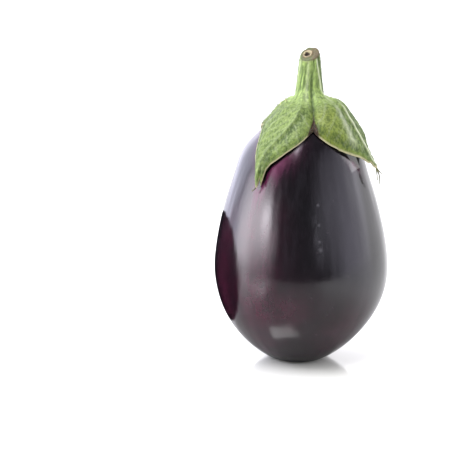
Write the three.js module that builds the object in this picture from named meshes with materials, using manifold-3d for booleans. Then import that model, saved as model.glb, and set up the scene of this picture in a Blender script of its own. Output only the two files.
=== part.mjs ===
// A globe eggplant that stands on its blossom end: the fruit, and the green calyx with its cut stem.
// Millimetres, +Z up, with the origin on the ground below the middle of the fruit's belly.
// Azimuths are in degrees round the vertical: 0 is the front (-Y) and 90 is the right (+X).
// A depth on the skin is the distance along it from the middle of the crown, down a meridian.
import * as THREE from "three";
import { mergeVertices } from "three/addons/utils/BufferGeometryUtils.js";
import Module from "manifold-3d";

// ---- Driving dimensions: the fruit ----
const FRUIT_RADIUS = 52;
const BELLY_HEIGHT = 57; // where the fruit is widest
const CROWN_HEIGHT = 153.5;
const CROWN_LEAN = 3.9; // how far the crown leans to the right
const LEAN_START = 115; // the height where that lean begins
const BASE_LEAN = -2; // how far the blossom end sits to the right: it is to the left of the belly
const BASE_LEAN_END = 50; // the height where that has died out
const REST_RADIUS = 14.5; // the flat spot at the blossom end
const SCAR_RADIUS = 4.5; // the blossom scar, a dimple in the flat spot
const SCAR_DEPTH = 1.1;
const SCAR_PROFILE = [[0, 1], [0.55, 0.8], [1, 0.2], [1.25, 0]]; // shares of its radius and of its depth
const SWELL = 0.75; // the low swellings that run from the crown to the base
const SWELL_HEIGHT = 118; // they are highest here
const SWELL_REACH = 34;
const SWELL_LEAST = 0.3; // the share of them that is left far from there
const SWELL_FADE = 28; // they die out inside this radius
const SWELLS = [
  { count: 5, share: 0.55, turn: 57 },
  { count: 3, share: 0.3, turn: -34 },
  { count: 8, share: 0.2, turn: 115 },
];
// The fuller shoulders: azimuth and width in degrees, height, reach up and down, and rise off the outline.
const SHOULDERS = [
  { azimuth: -112, width: 36, height: 129, reach: 11.5, rise: 3.2 },
  { azimuth: 78, width: 32, height: 124, reach: 10, rise: 1.3 },
];

// How far the outline runs on straight from each of its knots.
const BASE_PULL = 3;
const BELLY_PULL_DOWN = 38;
const BELLY_PULL_UP = 21;
const CROWN_PULL = 36;

// ---- Driving dimensions: the stem ----
const STEM_TOP_HEIGHT = 183.8; // the middle of the cut
const STEM_FOOT_HEIGHT = 160;
const STEM_TOP_RADIUS = 5.9;
const STEM_FOOT_RADIUS = 8.6;
const STEM_RIDGE = 0.5; // ridges run up the stem from the ribs of the sepals
const STEM_RIDGE_WIDTH = 1.3;
const STEM_GROOVE = 0.6; // and grooves from the notches between them
const STEM_GROOVE_WIDTH = 1.1;
const CUT_TILT = 31; // degrees by which the cut faces off the vertical
const CUT_FACING = -20; // the azimuth that it faces
const CUT_ROUND = 0.8; // the worn edge of the cut
const PITH_RADIUS = 1.8; // the hollow pith in the cut
const PITH_DEPTH = 1.6;
const PITH_TAPER = 0.7; // the bottom of the pith hollow, as a share of its radius
const STEM_FLARE = 0.25; // how soon the stem turns out onto the calyx: 0 is at once
const STEM_TURN = 0.45; // the share of a rib's lean that its ridge on the stem keeps

// ---- Driving dimensions: the calyx ----
const GAP = 0.4; // between the calyx and the skin
const BLADE_THICKNESS = 1.5;
const MARGIN_THICKNESS = 0.9;
const MARGIN_TAPER = 2; // the blade thins to its margin over this width
const BOSS_THICKNESS = 5.3; // the fleshy boss round the foot of the stem adds this to the blade
const BOSS_REACH = 20; // where the boss has thinned to about a third
const SHOULDER_DEPTH = 12; // where the stem's flare ends on the boss
const RIB_HEIGHT = 0.8;
const RIB_WIDTH = 1.5;
const GROOVE_DEPTH = 0.8;
const GROOVE_WIDTH = 1.4;
const FOLD_WIDTH = 7; // the blade folds down to its margin over this width
const MARGIN_RISE = 2.5; // how late the margin rises from the skin on its way to the point
const NOTCH_LIFT = 0.4; // how far the blade stands off the skin at a notch
const LIFT_START = 20; // the depth where it begins to stand off
const NOTCH_LIFT_RUN = 10; // how much deeper it stands off fully
const BULGE_START = 4; // the depths where a sepal begins to bulge and where it bulges fully
const BULGE_FULL = 20;
const SPIKE_SHARE = 0.2; // the share of a sepal that is its drawn-out point
const SPIKE_WIDTH = 0.1; // of the half sepal
const VALLEY_WIDTH = 5; // half the width of the valley that a rib may lie in
const RIB_LEAN_END = 50; // the depth by which a rib's lean has died out

// Each sepal: the azimuths of the notch on its left and of its rib, the depths of that notch and of its
// point, and how hollow its sides are. Its middle (bulge) and its point (flare) stand off the skin. The bulge
// is a keel where crest is 1 and broader where it is more, and the rib may lie in a valley. Near the stem the
// rib leans to the right by some degrees, and the sepal's point swings there too.
const SEPALS = [
  {
    name: "left", notch: -85, rib: -40, notchDepth: 28, depth: 63.5, hollow: 1.35,
    bulge: 2.3, flare: 1.4, crest: 1.4, valley: 0, lean: 26, swing: 2,
  },
  {
    name: "right", notch: 8, rib: 64, notchDepth: 27.5, depth: 56.5, hollow: 0.86,
    bulge: 4.9, flare: 6, crest: 4, valley: 1.3, lean: 0, swing: 7,
  },
  {
    name: "third", notch: 103, rib: 133, notchDepth: 30, depth: 54, hollow: 1.6,
    bulge: 2.2, flare: 3, crest: 2.5, valley: 0.6, lean: 5, swing: -4,
  },
  {
    name: "back", notch: 161, rib: 186, notchDepth: 30, depth: 58, hollow: 1.5,
    bulge: 1.6, flare: 1.6, crest: 2, valley: 0.3, lean: -7, swing: 4,
  },
  {
    name: "fifth", notch: 206, rib: 222, notchDepth: 29, depth: 44, hollow: 2,
    bulge: 0.9, flare: 1, crest: 1.6, valley: 0, lean: 6, swing: 0,
  },
];

// Dry threads that the sepals' points end in. Each leaves its point at an angle off the skin (lift) and to
// the right of straight down (turn), and changes both by the end of its length (rise and curl).
const THREADS = [
  { sepal: "left", length: 4, lift: 6, turn: -24, rise: 10, curl: -20 },
  { sepal: "right", length: 11, lift: 2, turn: -4, rise: -16, curl: -6 },
  { sepal: "right", length: 6.5, lift: 10, turn: 12, rise: 2, curl: 2 },
  { sepal: "right", length: 8, lift: -5, turn: -26, rise: -8, curl: 14 },
  { sepal: "third", length: 6, lift: 12, turn: -8, rise: 20, curl: 30 },
  { sepal: "back", length: 4, lift: 8, turn: 20, rise: 10, curl: 15 },
  { sepal: "fifth", length: 4, lift: 8, turn: -25, rise: 10, curl: -20 },
];
const THREAD_ROOT_RADIUS = 0.75;
const THREAD_TIP_RADIUS = 0.35;
const THREAD_SUNK = 2.5; // how far back a thread starts inside its sepal

// Prickles on the boss and on the ribs: azimuth, depth on the skin and height.
const PRICKLES = [
  { azimuth: -72, depth: 12, height: 2.4 },
  { azimuth: -80, depth: 15, height: 2 },
  { azimuth: 80, depth: 10.5, height: 2 },
  { azimuth: 130, depth: 15, height: 2.2 },
  { azimuth: 188, depth: 17, height: 2.2 },
  { azimuth: 243, depth: 16, height: 2 },
];
const PRICKLE_RADIUS = 0.8;
const PRICKLE_SUNK = 1;
const PRICKLE_RISE = 0.5; // how far they lean up towards the stem

// ---- How finely the surfaces are cut ----
const FRUIT_COLUMNS = 64;
const FRUIT_ROWS = 34;
const STEM_ROWS = 7;
const FLARE_ROWS = 3;
const BLADE_ROWS = 11;
const LINING_ROWS = 10;
// The shares of the way from a rib to its notch that have a column.
const HALF_SEPAL_STEPS = [0, 0.035, 0.08, 0.14, 0.23, 0.35, 0.49, 0.66, 0.83, 0.94];
const THREAD_RINGS = 9;
const THREAD_SIDES = 6;
const PRICKLE_SIDES = 6;

const wasm = await Module();
wasm.setup();

const radians = THREE.MathUtils.degToRad;
const smooth = (value, from, to) => THREE.MathUtils.smoothstep(value, from, to);
const bell = (distance, width) => Math.exp(-((distance / width) ** 2));

// ---- The skin of the fruit ----

// Half of the fruit's outline, from the rim of the flat spot up to the crown, as x out and y up.
function fruitOutline() {
  const outline = new THREE.Path();
  outline.moveTo(REST_RADIUS, 0);
  outline.bezierCurveTo(
    REST_RADIUS + BASE_PULL, 0, FRUIT_RADIUS, BELLY_HEIGHT - BELLY_PULL_DOWN, FRUIT_RADIUS, BELLY_HEIGHT,
  );
  outline.bezierCurveTo(
    FRUIT_RADIUS, BELLY_HEIGHT + BELLY_PULL_UP, CROWN_PULL, CROWN_HEIGHT, 0, CROWN_HEIGHT,
  );
  return outline;
}

const OUTLINE = fruitOutline();
const OUTLINE_LENGTH = OUTLINE.getLength();

// The degrees from one azimuth to another, the short way round.
const degreesApart = (from, to) => THREE.MathUtils.euclideanModulo(to - from + 180, 360) - 180;

// The low swellings of the skin, which die out at the crown, and the shoulders.
function swelling(azimuth, radius, height) {
  const strength = SWELL_LEAST + (1 - SWELL_LEAST) * bell(height - SWELL_HEIGHT, SWELL_REACH);
  const wave = SWELLS.reduce(
    (sum, { count, share, turn }) => sum + share * Math.cos(radians(count * azimuth + turn)), 0,
  );
  const shoulders = SHOULDERS.reduce(
    (sum, { azimuth: middle, width, height: level, reach, rise }) =>
      sum + rise * bell(degreesApart(middle, azimuth), width) * bell(height - level, reach),
    0,
  );
  return (SWELL * strength * wave + shoulders) * Math.min(1, radius / SWELL_FADE);
}

// How far the axis of the fruit is to the right at a height.
function axisAt(height) {
  const crown = CROWN_LEAN * smooth(height, LEAN_START, CROWN_HEIGHT);
  return crown + BASE_LEAN * (1 - smooth(height, 0, BASE_LEAN_END));
}

// A point given by its radius and height, placed round the leaning axis of the fruit.
function aroundFruit(azimuth, radius, height, axisHeight = height) {
  const angle = radians(azimuth);
  return new THREE.Vector3(axisAt(axisHeight) + radius * Math.sin(angle), -radius * Math.cos(angle), height);
}

// The point that stands off the skin by a height, at a depth below the crown.
function overSkin(azimuth, depth, height) {
  const along = 1 - depth / OUTLINE_LENGTH;
  const point = OUTLINE.getPoint(along);
  const tangent = OUTLINE.getTangent(along);
  const radius = point.x + swelling(azimuth, point.x, point.y);
  return aroundFruit(azimuth, radius + height * tangent.y, point.y - height * tangent.x, point.y);
}

// ---- Shaping a lathe ----

// A lathe's grid of columns and rows, with every vertex placed by a function of its column and its row.
function placedLathe(columns, rows, place) {
  const seed = Array.from({ length: rows }, (_, row) => new THREE.Vector2(1, row));
  const lathe = new THREE.LatheGeometry(seed, columns);
  const position = lathe.getAttribute("position");
  for (let column = 0; column <= columns; column++)
    for (let row = 0; row < rows; row++) {
      const { x, y, z } = place(column % columns, row);
      position.setXYZ(column * rows + row, x, y, z);
    }
  lathe.deleteAttribute("normal");
  lathe.deleteAttribute("uv");
  return lathe;
}

function solidOf(geometry) {
  const merged = mergeVertices(geometry, 1e-4);
  return new wasm.Manifold(
    new wasm.Mesh({
      numProp: 3,
      vertProperties: merged.getAttribute("position").array,
      triVerts: new Uint32Array(merged.index.array),
    }),
  );
}

function geometryOf(solid) {
  const { vertProperties, triVerts } = solid.getMesh();
  const geometry = new THREE.BufferGeometry();
  geometry.setAttribute("position", new THREE.BufferAttribute(vertProperties, 3));
  geometry.setIndex(new THREE.BufferAttribute(triVerts, 1));
  geometry.computeVertexNormals();
  return geometry;
}

// ---- The fruit ----

// The dimple of the blossom scar, the flat ring round it, and the skin up to the crown.
function fruitGeometry() {
  const rows = SCAR_PROFILE.length + FRUIT_ROWS + 1;
  return placedLathe(FRUIT_COLUMNS, rows, (column, row) => {
    const azimuth = (360 * column) / FRUIT_COLUMNS;
    if (row < SCAR_PROFILE.length) {
      const [out, deep] = SCAR_PROFILE[row];
      return aroundFruit(azimuth, SCAR_RADIUS * out, SCAR_DEPTH * deep);
    }
    const up = (row - SCAR_PROFILE.length) / FRUIT_ROWS;
    return overSkin(azimuth, OUTLINE_LENGTH * (1 - up), 0);
  });
}

// ---- The calyx and the stem ----

// The columns of the calyx, closest together at the ribs. Each has its azimuth, its sepal, its share of the
// way from the sepal's rib to the notch on its side, that notch's depth, and the turn from the rib to it.
function calyxColumns() {
  const columns = [];
  SEPALS.forEach((sepal, index) => {
    const next = SEPALS[(index + 1) % SEPALS.length];
    const nextNotch = index + 1 < SEPALS.length ? next.notch : next.notch + 360;
    const half = (notch, notchDepth) => (share) => ({
      azimuth: THREE.MathUtils.lerp(sepal.rib, notch, share),
      sepal,
      share,
      notchDepth,
      span: notch - sepal.rib,
    });
    const inward = [...HALF_SEPAL_STEPS, 1].slice(1).reverse();
    columns.push(...inward.map(half(sepal.notch, sepal.notchDepth)));
    columns.push(...HALF_SEPAL_STEPS.map(half(nextNotch, next.notchDepth)));
  });
  return columns;
}

// The depth of the margin in a column: a broad blade that is drawn out into a point at the rib.
function marginDepth({ sepal, share, notchDepth }) {
  const blade = (1 - SPIKE_SHARE) * (1 - share) ** sepal.hollow;
  const spike = SPIKE_SHARE * bell(share, SPIKE_WIDTH);
  return notchDepth + (sepal.depth - notchDepth) * (blade + spike);
}

// The degrees by which a sepal's rib is turned to the right at a depth.
function ribTurn({ lean, swing, depth: point }, depth) {
  const out = Math.max(0, (depth - LIFT_START) / (point - LIFT_START));
  return lean * (1 - smooth(depth, SHOULDER_DEPTH, RIB_LEAN_END)) + swing * out ** 2;
}

// The distances along the surface from a column to its notch and to its rib, which is turned by some degrees.
function acrossSepal({ share, span }, turn, radius) {
  const reach = radians(Math.abs(span - turn)) * radius;
  return { fromRib: share * reach, fromNotch: (1 - share) * reach };
}

function acrossBlade(column, depth) {
  return acrossSepal(column, ribTurn(column.sepal, depth), OUTLINE.getPoint(1 - depth / OUTLINE_LENGTH).x);
}

// How far the underside of the blade stands off the skin: as a sepal bulges in its middle and at its margin.
function standOff(column, depth, toMargin) {
  const { sepal, share } = column;
  const { fromRib } = acrossBlade(column, depth);
  const atNotch = NOTCH_LIFT * smooth(depth, LIFT_START, LIFT_START + NOTCH_LIFT_RUN);
  const middle = sepal.bulge * (1 - share ** sepal.crest) - sepal.valley * bell(fromRib, VALLEY_WIDTH);
  const margin = sepal.flare * (1 - share) ** MARGIN_RISE;
  const across = THREE.MathUtils.lerp(margin, middle, smooth(toMargin, 0, FOLD_WIDTH));
  return GAP + atNotch + across * smooth(depth, BULGE_START, BULGE_FULL);
}

// The relief of the blade: its rib and the groove down to each notch.
function relief(column, depth, toMargin) {
  const { fromRib, fromNotch } = acrossBlade(column, depth);
  const rib = RIB_HEIGHT * bell(fromRib, RIB_WIDTH) * smooth(toMargin, -FOLD_WIDTH / 2, FOLD_WIDTH);
  return rib - GROOVE_DEPTH * bell(fromNotch, GROOVE_WIDTH);
}

const bossThickness = (depth) => BOSS_THICKNESS * Math.exp(-((depth / BOSS_REACH) ** 3));

// A point of the calyx over the skin, with its column turned as far as it is near the rib.
function onSepal({ sepal, share, azimuth }, depth, height) {
  return overSkin(azimuth + ribTurn(sepal, depth) * (1 - share), depth, height);
}

// The upper face of the calyx, at a share of the way from the stem's flare to the margin.
function upperFace(column, along) {
  const margin = marginDepth(column);
  const depth = THREE.MathUtils.lerp(SHOULDER_DEPTH, margin, along);
  const toMargin = margin - depth;
  const taper = smooth(toMargin, 0, MARGIN_TAPER);
  const blade = THREE.MathUtils.lerp(MARGIN_THICKNESS, BLADE_THICKNESS, taper) + bossThickness(depth);
  return onSepal(column, depth, standOff(column, depth, toMargin) + blade + relief(column, depth, toMargin));
}

// The lower face, which lines the skin, from the margin back to the middle of the crown.
function lowerFace(column, along) {
  if (along === 1) return aroundFruit(0, 0, CROWN_HEIGHT + GAP);
  const margin = marginDepth(column);
  const depth = margin * (1 - along);
  return onSepal(column, depth, standOff(column, depth, margin - depth));
}

// The height of the tilted cut over a point.
function cutHeight(point) {
  const facing = radians(CUT_FACING);
  const towards = (point.x - CROWN_LEAN) * Math.sin(facing) - point.y * Math.cos(facing);
  return STEM_TOP_HEIGHT - towards * Math.tan(radians(CUT_TILT));
}

// The side of the stem at a share of the way up to the cut, with its ridges and grooves.
function stemSide(column, up) {
  const radius = THREE.MathUtils.lerp(STEM_FOOT_RADIUS, STEM_TOP_RADIUS, up);
  const turn = STEM_TURN * column.sepal.lean;
  const { fromRib, fromNotch } = acrossSepal(column, turn, radius);
  const ridge = STEM_RIDGE * bell(fromRib, STEM_RIDGE_WIDTH);
  const groove = STEM_GROOVE * bell(fromNotch, STEM_GROOVE_WIDTH);
  const azimuth = column.azimuth + turn * (1 - column.share);
  const point = aroundFruit(azimuth, radius + (ridge - groove) * (1 - up / 2), CROWN_HEIGHT);
  point.z = THREE.MathUtils.lerp(STEM_FOOT_HEIGHT, cutHeight(point) - CUT_ROUND, up);
  return point;
}

// A point of the cut at a share of the way from its middle to the stem's side, sunk by a depth.
function cutFace(column, out, sunk) {
  const side = stemSide(column, 1);
  const point = new THREE.Vector3(CROWN_LEAN, 0, 0).lerp(side, out);
  point.z = cutHeight(point) - sunk;
  return point;
}

// The flare from the foot of the stem onto the boss, as a hollow curve.
function flareFace(column, down) {
  const foot = stemSide(column, 0);
  const end = upperFace(column, 0);
  const corner = foot.clone().lerp(end, STEM_FLARE);
  corner.z = end.z + STEM_FLARE * (foot.z - end.z);
  return new THREE.QuadraticBezierCurve3(foot, corner, end).getPoint(down);
}

// The closed skin of the calyx and the stem, ring by ring: the cut, down the stem, over the blades to the
// margin, and back under them to the middle of the crown.
function calyxGeometry() {
  const columns = calyxColumns();
  const pith = PITH_RADIUS / STEM_TOP_RADIUS;
  const shares = (count) => Array.from({ length: count }, (_, row) => row / (count - 1));
  const cut = [
    (column) => cutFace(column, 0, PITH_DEPTH),
    (column) => cutFace(column, pith * PITH_TAPER, PITH_DEPTH),
    (column) => cutFace(column, pith, 0),
    (column) => cutFace(column, 1 - CUT_ROUND / STEM_TOP_RADIUS, 0),
  ];
  const side = shares(STEM_ROWS).map((down) => (column) => stemSide(column, 1 - down));
  const flare = shares(FLARE_ROWS + 2).slice(1, -1).map((down) => (column) => flareFace(column, down));
  const blade = shares(BLADE_ROWS).map((along) => (column) => upperFace(column, along));
  const lining = shares(LINING_ROWS).map((along) => (column) => lowerFace(column, along));
  const rows = [...cut, ...side, ...flare, ...blade, ...lining].reverse();
  return placedLathe(columns.length, rows.length, (column, row) => rows[row](columns[column]));
}

// A thread that thins along its curve: a lathe with each of its rings carried to the curve, and closed ends.
function threadGeometry(curve) {
  const last = THREAD_RINGS - 1;
  const frames = curve.computeFrenetFrames(last, false);
  return placedLathe(THREAD_SIDES, THREAD_RINGS + 2, (column, row) => {
    const ring = THREE.MathUtils.clamp(row - 1, 0, last);
    const along = ring / last;
    const closed = row === 0 || row === THREAD_RINGS + 1;
    const radius = closed ? 0 : THREE.MathUtils.lerp(THREAD_ROOT_RADIUS, THREAD_TIP_RADIUS, along);
    const turn = (2 * Math.PI * column) / THREAD_SIDES;
    return curve
      .getPointAt(along)
      .addScaledVector(frames.normals[ring], radius * Math.cos(turn))
      .addScaledVector(frames.binormals[ring], radius * Math.sin(turn));
  });
}

// The curve of a thread, which starts inside its sepal's point and curls away.
function threadCurve({ sepal: name, length, lift, turn, rise, curl }) {
  const sepal = SEPALS.find((candidate) => candidate.name === name);
  const rib = { sepal, share: 0, azimuth: sepal.rib, notchDepth: sepal.notchDepth, span: 1 };
  const middle = standOff(rib, sepal.depth, 0) + MARGIN_THICKNESS / 2;
  const inside = onSepal(rib, sepal.depth - THREAD_SUNK, middle);
  const point = onSepal(rib, sepal.depth - THREAD_SUNK / 4, middle);
  const root = onSepal(rib, sepal.depth, middle);
  const outward = onSepal(rib, sepal.depth, middle + 1).sub(root).normalize();
  const downward = onSepal(rib, sepal.depth + 1, middle).sub(root).normalize();
  const right = new THREE.Vector3().crossVectors(outward, downward);
  const heading = (off, aside) =>
    downward
      .clone()
      .multiplyScalar(Math.cos(radians(off)) * Math.cos(radians(aside)))
      .addScaledVector(outward, Math.sin(radians(off)))
      .addScaledVector(right, Math.cos(radians(off)) * Math.sin(radians(aside)));
  const half = point.clone().addScaledVector(heading(lift, turn), length / 2);
  const end = half.clone().addScaledVector(heading(lift + rise, turn + curl), length / 2);
  return new THREE.CatmullRomCurve3([inside, point, half, end]);
}

// A prickle that stands on the calyx and leans a little up towards the stem.
function prickleGeometry({ azimuth, depth, height }) {
  const base = overSkin(azimuth, depth, GAP + BLADE_THICKNESS + bossThickness(depth) - PRICKLE_SUNK);
  const heading = overSkin(azimuth, depth, 1).sub(overSkin(azimuth, depth, 0)).normalize();
  heading.z += PRICKLE_RISE;
  heading.normalize();
  const length = height + PRICKLE_SUNK;
  const cone = new THREE.ConeGeometry(PRICKLE_RADIUS, length, PRICKLE_SIDES).translate(0, length / 2, 0);
  cone.applyQuaternion(new THREE.Quaternion().setFromUnitVectors(new THREE.Vector3(0, 1, 0), heading));
  cone.translate(base.x, base.y, base.z);
  cone.deleteAttribute("normal");
  cone.deleteAttribute("uv");
  return cone;
}

function calyxAndStemGeometry() {
  let solid = solidOf(calyxGeometry());
  for (const thread of THREADS) solid = solid.add(solidOf(threadGeometry(threadCurve(thread))));
  for (const prickle of PRICKLES) solid = solid.add(solidOf(prickleGeometry(prickle)));
  return geometryOf(solid);
}

// ---- The eggplant ----

const skin = new THREE.MeshStandardMaterial({ color: 0x1e0d1c, roughness: 0.2, metalness: 0 });
const green = new THREE.MeshStandardMaterial({ color: 0x86a85a, roughness: 0.65, metalness: 0 });

function part(name, geometry, material) {
  const mesh = new THREE.Mesh(geometry, material);
  mesh.name = name;
  return mesh;
}

const eggplant = new THREE.Group();
eggplant.add(part("fruit", fruitGeometry(), skin));
eggplant.add(part("calyx_and_stem", calyxAndStemGeometry(), green));

export default eggplant;
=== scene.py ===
"""A globe eggplant that stands on its blossom end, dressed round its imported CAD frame.

It makes the fruit, its calyx with the cut stem, the dry threads, prickles and down on them, and a studio.
Lengths are in metres and angles in degrees. An azimuth is taken round the vertical: 0 is the front (-Y)
and 90 the right (+X). A depth on the skin is the distance along it from the middle of the crown, down a
meridian.
"""
import math
import random
from collections import namedtuple

import bmesh
import bpy
from bpy.props import FloatProperty, FloatVectorProperty, IntProperty, PointerProperty
from mathutils import Matrix, Vector, noise


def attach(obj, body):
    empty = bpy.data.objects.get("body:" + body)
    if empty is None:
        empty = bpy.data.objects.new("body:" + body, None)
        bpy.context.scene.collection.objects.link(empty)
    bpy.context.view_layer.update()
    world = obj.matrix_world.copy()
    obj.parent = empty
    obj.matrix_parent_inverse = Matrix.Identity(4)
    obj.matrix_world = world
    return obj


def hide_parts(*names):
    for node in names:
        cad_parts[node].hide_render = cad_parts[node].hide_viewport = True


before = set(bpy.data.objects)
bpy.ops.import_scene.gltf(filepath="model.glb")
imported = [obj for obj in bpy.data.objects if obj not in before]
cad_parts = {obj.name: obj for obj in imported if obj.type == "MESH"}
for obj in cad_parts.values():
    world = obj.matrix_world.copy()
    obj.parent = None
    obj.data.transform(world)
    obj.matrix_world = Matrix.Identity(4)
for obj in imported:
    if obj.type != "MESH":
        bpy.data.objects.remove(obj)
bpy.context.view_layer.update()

bl_info = {
    "name": "Eggplant",
    "version": (1, 0, 0),
    "blender": (4, 5, 0),
    "location": "View3D > Sidebar > Eggplant",
    "description": "Makes a globe eggplant with its calyx and cut stem, and a plain studio round it",
    "category": "Add Mesh",
}

MM = 0.001

# ---- Sizes shared with the part's source ----
FRUIT_RADIUS = 52 * MM
BELLY_HEIGHT = 57 * MM
CROWN_HEIGHT = 153.5 * MM
CROWN_LEAN = 3.9 * MM
LEAN_START = 115 * MM
BASE_LEAN = -2 * MM
BASE_LEAN_END = 50 * MM
REST_RADIUS = 14.5 * MM
SCAR_RADIUS = 4.5 * MM
SCAR_DEPTH = 1.1 * MM
SWELL = 0.75 * MM
SWELL_HEIGHT = 118 * MM
SWELL_REACH = 34 * MM
SWELL_LEAST = 0.3
SWELL_FADE = 28 * MM
SWELLS = ((5, 0.55, 57), (3, 0.3, -34), (8, 0.2, 115))  # count round the fruit, share and turn
Shoulder = namedtuple("Shoulder", "azimuth width height reach rise")
SHOULDERS = (Shoulder(-112, 36, 129 * MM, 11.5 * MM, 3.2 * MM), Shoulder(78, 32, 124 * MM, 10 * MM, 1.3 * MM))
BASE_PULL = 3 * MM
BELLY_PULL_DOWN = 38 * MM
BELLY_PULL_UP = 21 * MM
CROWN_PULL = 36 * MM

STEM_TOP_HEIGHT = 183.8 * MM
STEM_FOOT_HEIGHT = 160 * MM
STEM_TOP_RADIUS = 5.9 * MM
STEM_FOOT_RADIUS = 8.6 * MM
STEM_RIDGE = 0.5 * MM
STEM_RIDGE_WIDTH = 1.3 * MM
STEM_GROOVE = 0.6 * MM
STEM_GROOVE_WIDTH = 1.1 * MM
CUT_TILT = 31
CUT_FACING = -20
CUT_ROUND = 0.8 * MM
PITH_RADIUS = 1.8 * MM
PITH_ASIDE = Vector((-1.4 * MM, 0.2 * MM, 0))
PITH_DEPTH = 1.6 * MM
STEM_FLARE = 0.25
STEM_TURN = 0.45
FRONT_FLARE_UP = 0.24  # shares of the stem and of the blade where the softer flare of the front ends
FRONT_FLARE_DOWN = 0.11

GAP = 0.4 * MM
BLADE_THICKNESS = 1.5 * MM
MARGIN_THICKNESS = 0.9 * MM
MARGIN_TAPER = 2 * MM
BOSS_THICKNESS = 5.3 * MM
BOSS_REACH = 20 * MM
SHOULDER_DEPTH = 12 * MM
BOSS_END = 24 * MM
RIB_HEIGHT = 0.8 * MM
RIB_WIDTH = 1.5 * MM
GROOVE_DEPTH = 0.8 * MM
GROOVE_WIDTH = 1.4 * MM
RIB_LINE_HEIGHT = 0.45 * MM  # the fine line along a rib's crest
RIB_LINE_WIDTH = 0.5 * MM
PALE_FOLD = 0.3 * MM  # how far the bands of painted sheen stand up, and the bands of painted shade lie in
DARK_FOLD = 0.35 * MM
VEIN_HEIGHT = 0.07 * MM
VEIN_WIDTH = 0.42 * MM
VEIN_STEP = 6.5 * MM
VEIN_SHIFT = 1.5 * MM  # what the veins of a rib's two sides are shifted by
VEIN_SLANT = 0.9
CRINKLES = ((0.26 * MM, 330), (0.16 * MM, 900))  # height and scale
MARGIN_WAVE = 0.5 * MM
MARGIN_WAVES = 0.21
MARGIN_ROUND = 0.35 * MM
FOLD_WIDTH = 7 * MM
MARGIN_RISE = 2.5
FRONT_MARGIN_RISE = 4  # on the front half of the right sepal, which lies closer to the skin
NOTCH_LIFT = 0.4 * MM
LIFT_START = 20 * MM
NOTCH_LIFT_RUN = 10 * MM
BULGE_START = 4 * MM
BULGE_FULL = 20 * MM
SPIKE_SHARE = 0.2
SPIKE_WIDTH = 0.1
VALLEY_WIDTH = 5 * MM
RIB_LEAN_END = 50 * MM

# A fork adds a second point to a margin: its signed share from the rib, its width, and how far it reaches.
Fork = namedtuple("Fork", "at width reach")
# A band runs along one side of a rib. Its place is measured from the rib, from the margin or as a share of
# the way across the blade.
Band = namedtuple("Band", "side measure at width strength")
# A sepal's shades are bands of painted shade, mostly where the blade turns from the light, which lie in a
# little; its sheen crests stand up a little and carry a painted sheen.
Sepal = namedtuple(
    "Sepal",
    "name notch rib notch_depth depth hollow bulge flare crest valley lean swing line forks shades gleams",
)
SEPALS = (
    Sepal(
        "left", notch=-85, rib=-40, notch_depth=28 * MM, depth=63.5 * MM, hollow=1.35, bulge=2.3 * MM,
        flare=1.4 * MM, crest=1.4, valley=0, lean=26, swing=2, line=0.1,
        forks=(Fork(0.082, 0.022, 5 * MM), Fork(0.048, 0.016, -5 * MM)),
        shades=(Band(1, "rib", 2.6 * MM, 1.7 * MM, 0.6), Band(-1, "margin", 3.4 * MM, 1.3 * MM, 0.75),
                Band(-1, "share", 0.8, 0.13, 0.8), Band(-1, "share", 0.56, 0.05, 0.6),
                Band(1, "margin", 2.4 * MM, 0.9 * MM, 0.75)),
        gleams=(),
    ),
    Sepal(
        "right", notch=8, rib=64, notch_depth=27.5 * MM, depth=56.5 * MM, hollow=0.86, bulge=4.9 * MM,
        flare=6 * MM, crest=4, valley=1.3 * MM, lean=0, swing=7, line=1,
        forks=(Fork(-0.05, 0.014, -2.5 * MM),),
        shades=(Band(1, "rib", 5 * MM, 4.5 * MM, 0.9), Band(-1, "rib", 3.6 * MM, 3 * MM, 0.7),
                Band(-1, "margin", 3.6 * MM, 2.2 * MM, 0.75)),
        gleams=(Band(-1, "share", 0.28, 0.07, 0.66),),
    ),
    Sepal(
        "third", notch=103, rib=133, notch_depth=30 * MM, depth=54 * MM, hollow=1.6, bulge=2.2 * MM,
        flare=3 * MM, crest=2.5, valley=0.6 * MM, lean=5, swing=-4, line=0.8, forks=(),
        shades=(Band(1, "rib", 2.6 * MM, 2.2 * MM, 0.6), Band(-1, "margin", 3.2 * MM, 1.2 * MM, 0.5)),
        gleams=(Band(-1, "share", 0.35, 0.08, 0.45),),
    ),
    Sepal(
        "back", notch=161, rib=186, notch_depth=30 * MM, depth=58 * MM, hollow=1.5, bulge=1.6 * MM,
        flare=1.6 * MM, crest=2, valley=0.3 * MM, lean=-7, swing=4, line=0.7,
        forks=(Fork(-0.09, 0.02, 3 * MM),),
        shades=(Band(-1, "rib", 2.4 * MM, 2 * MM, 0.6), Band(1, "margin", 3 * MM, 1.2 * MM, 0.6)),
        gleams=(Band(1, "share", 0.3, 0.08, 0.4),),
    ),
    Sepal(
        "fifth", notch=206, rib=222, notch_depth=29 * MM, depth=44 * MM, hollow=2, bulge=0.9 * MM,
        flare=1 * MM, crest=1.6, valley=0, lean=6, swing=0, line=0.6, forks=(),
        shades=(Band(1, "rib", 2.2 * MM, 2 * MM, 0.6),),
        gleams=(Band(-1, "share", 0.3, 0.1, 0.3),),
    ),
)

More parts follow.
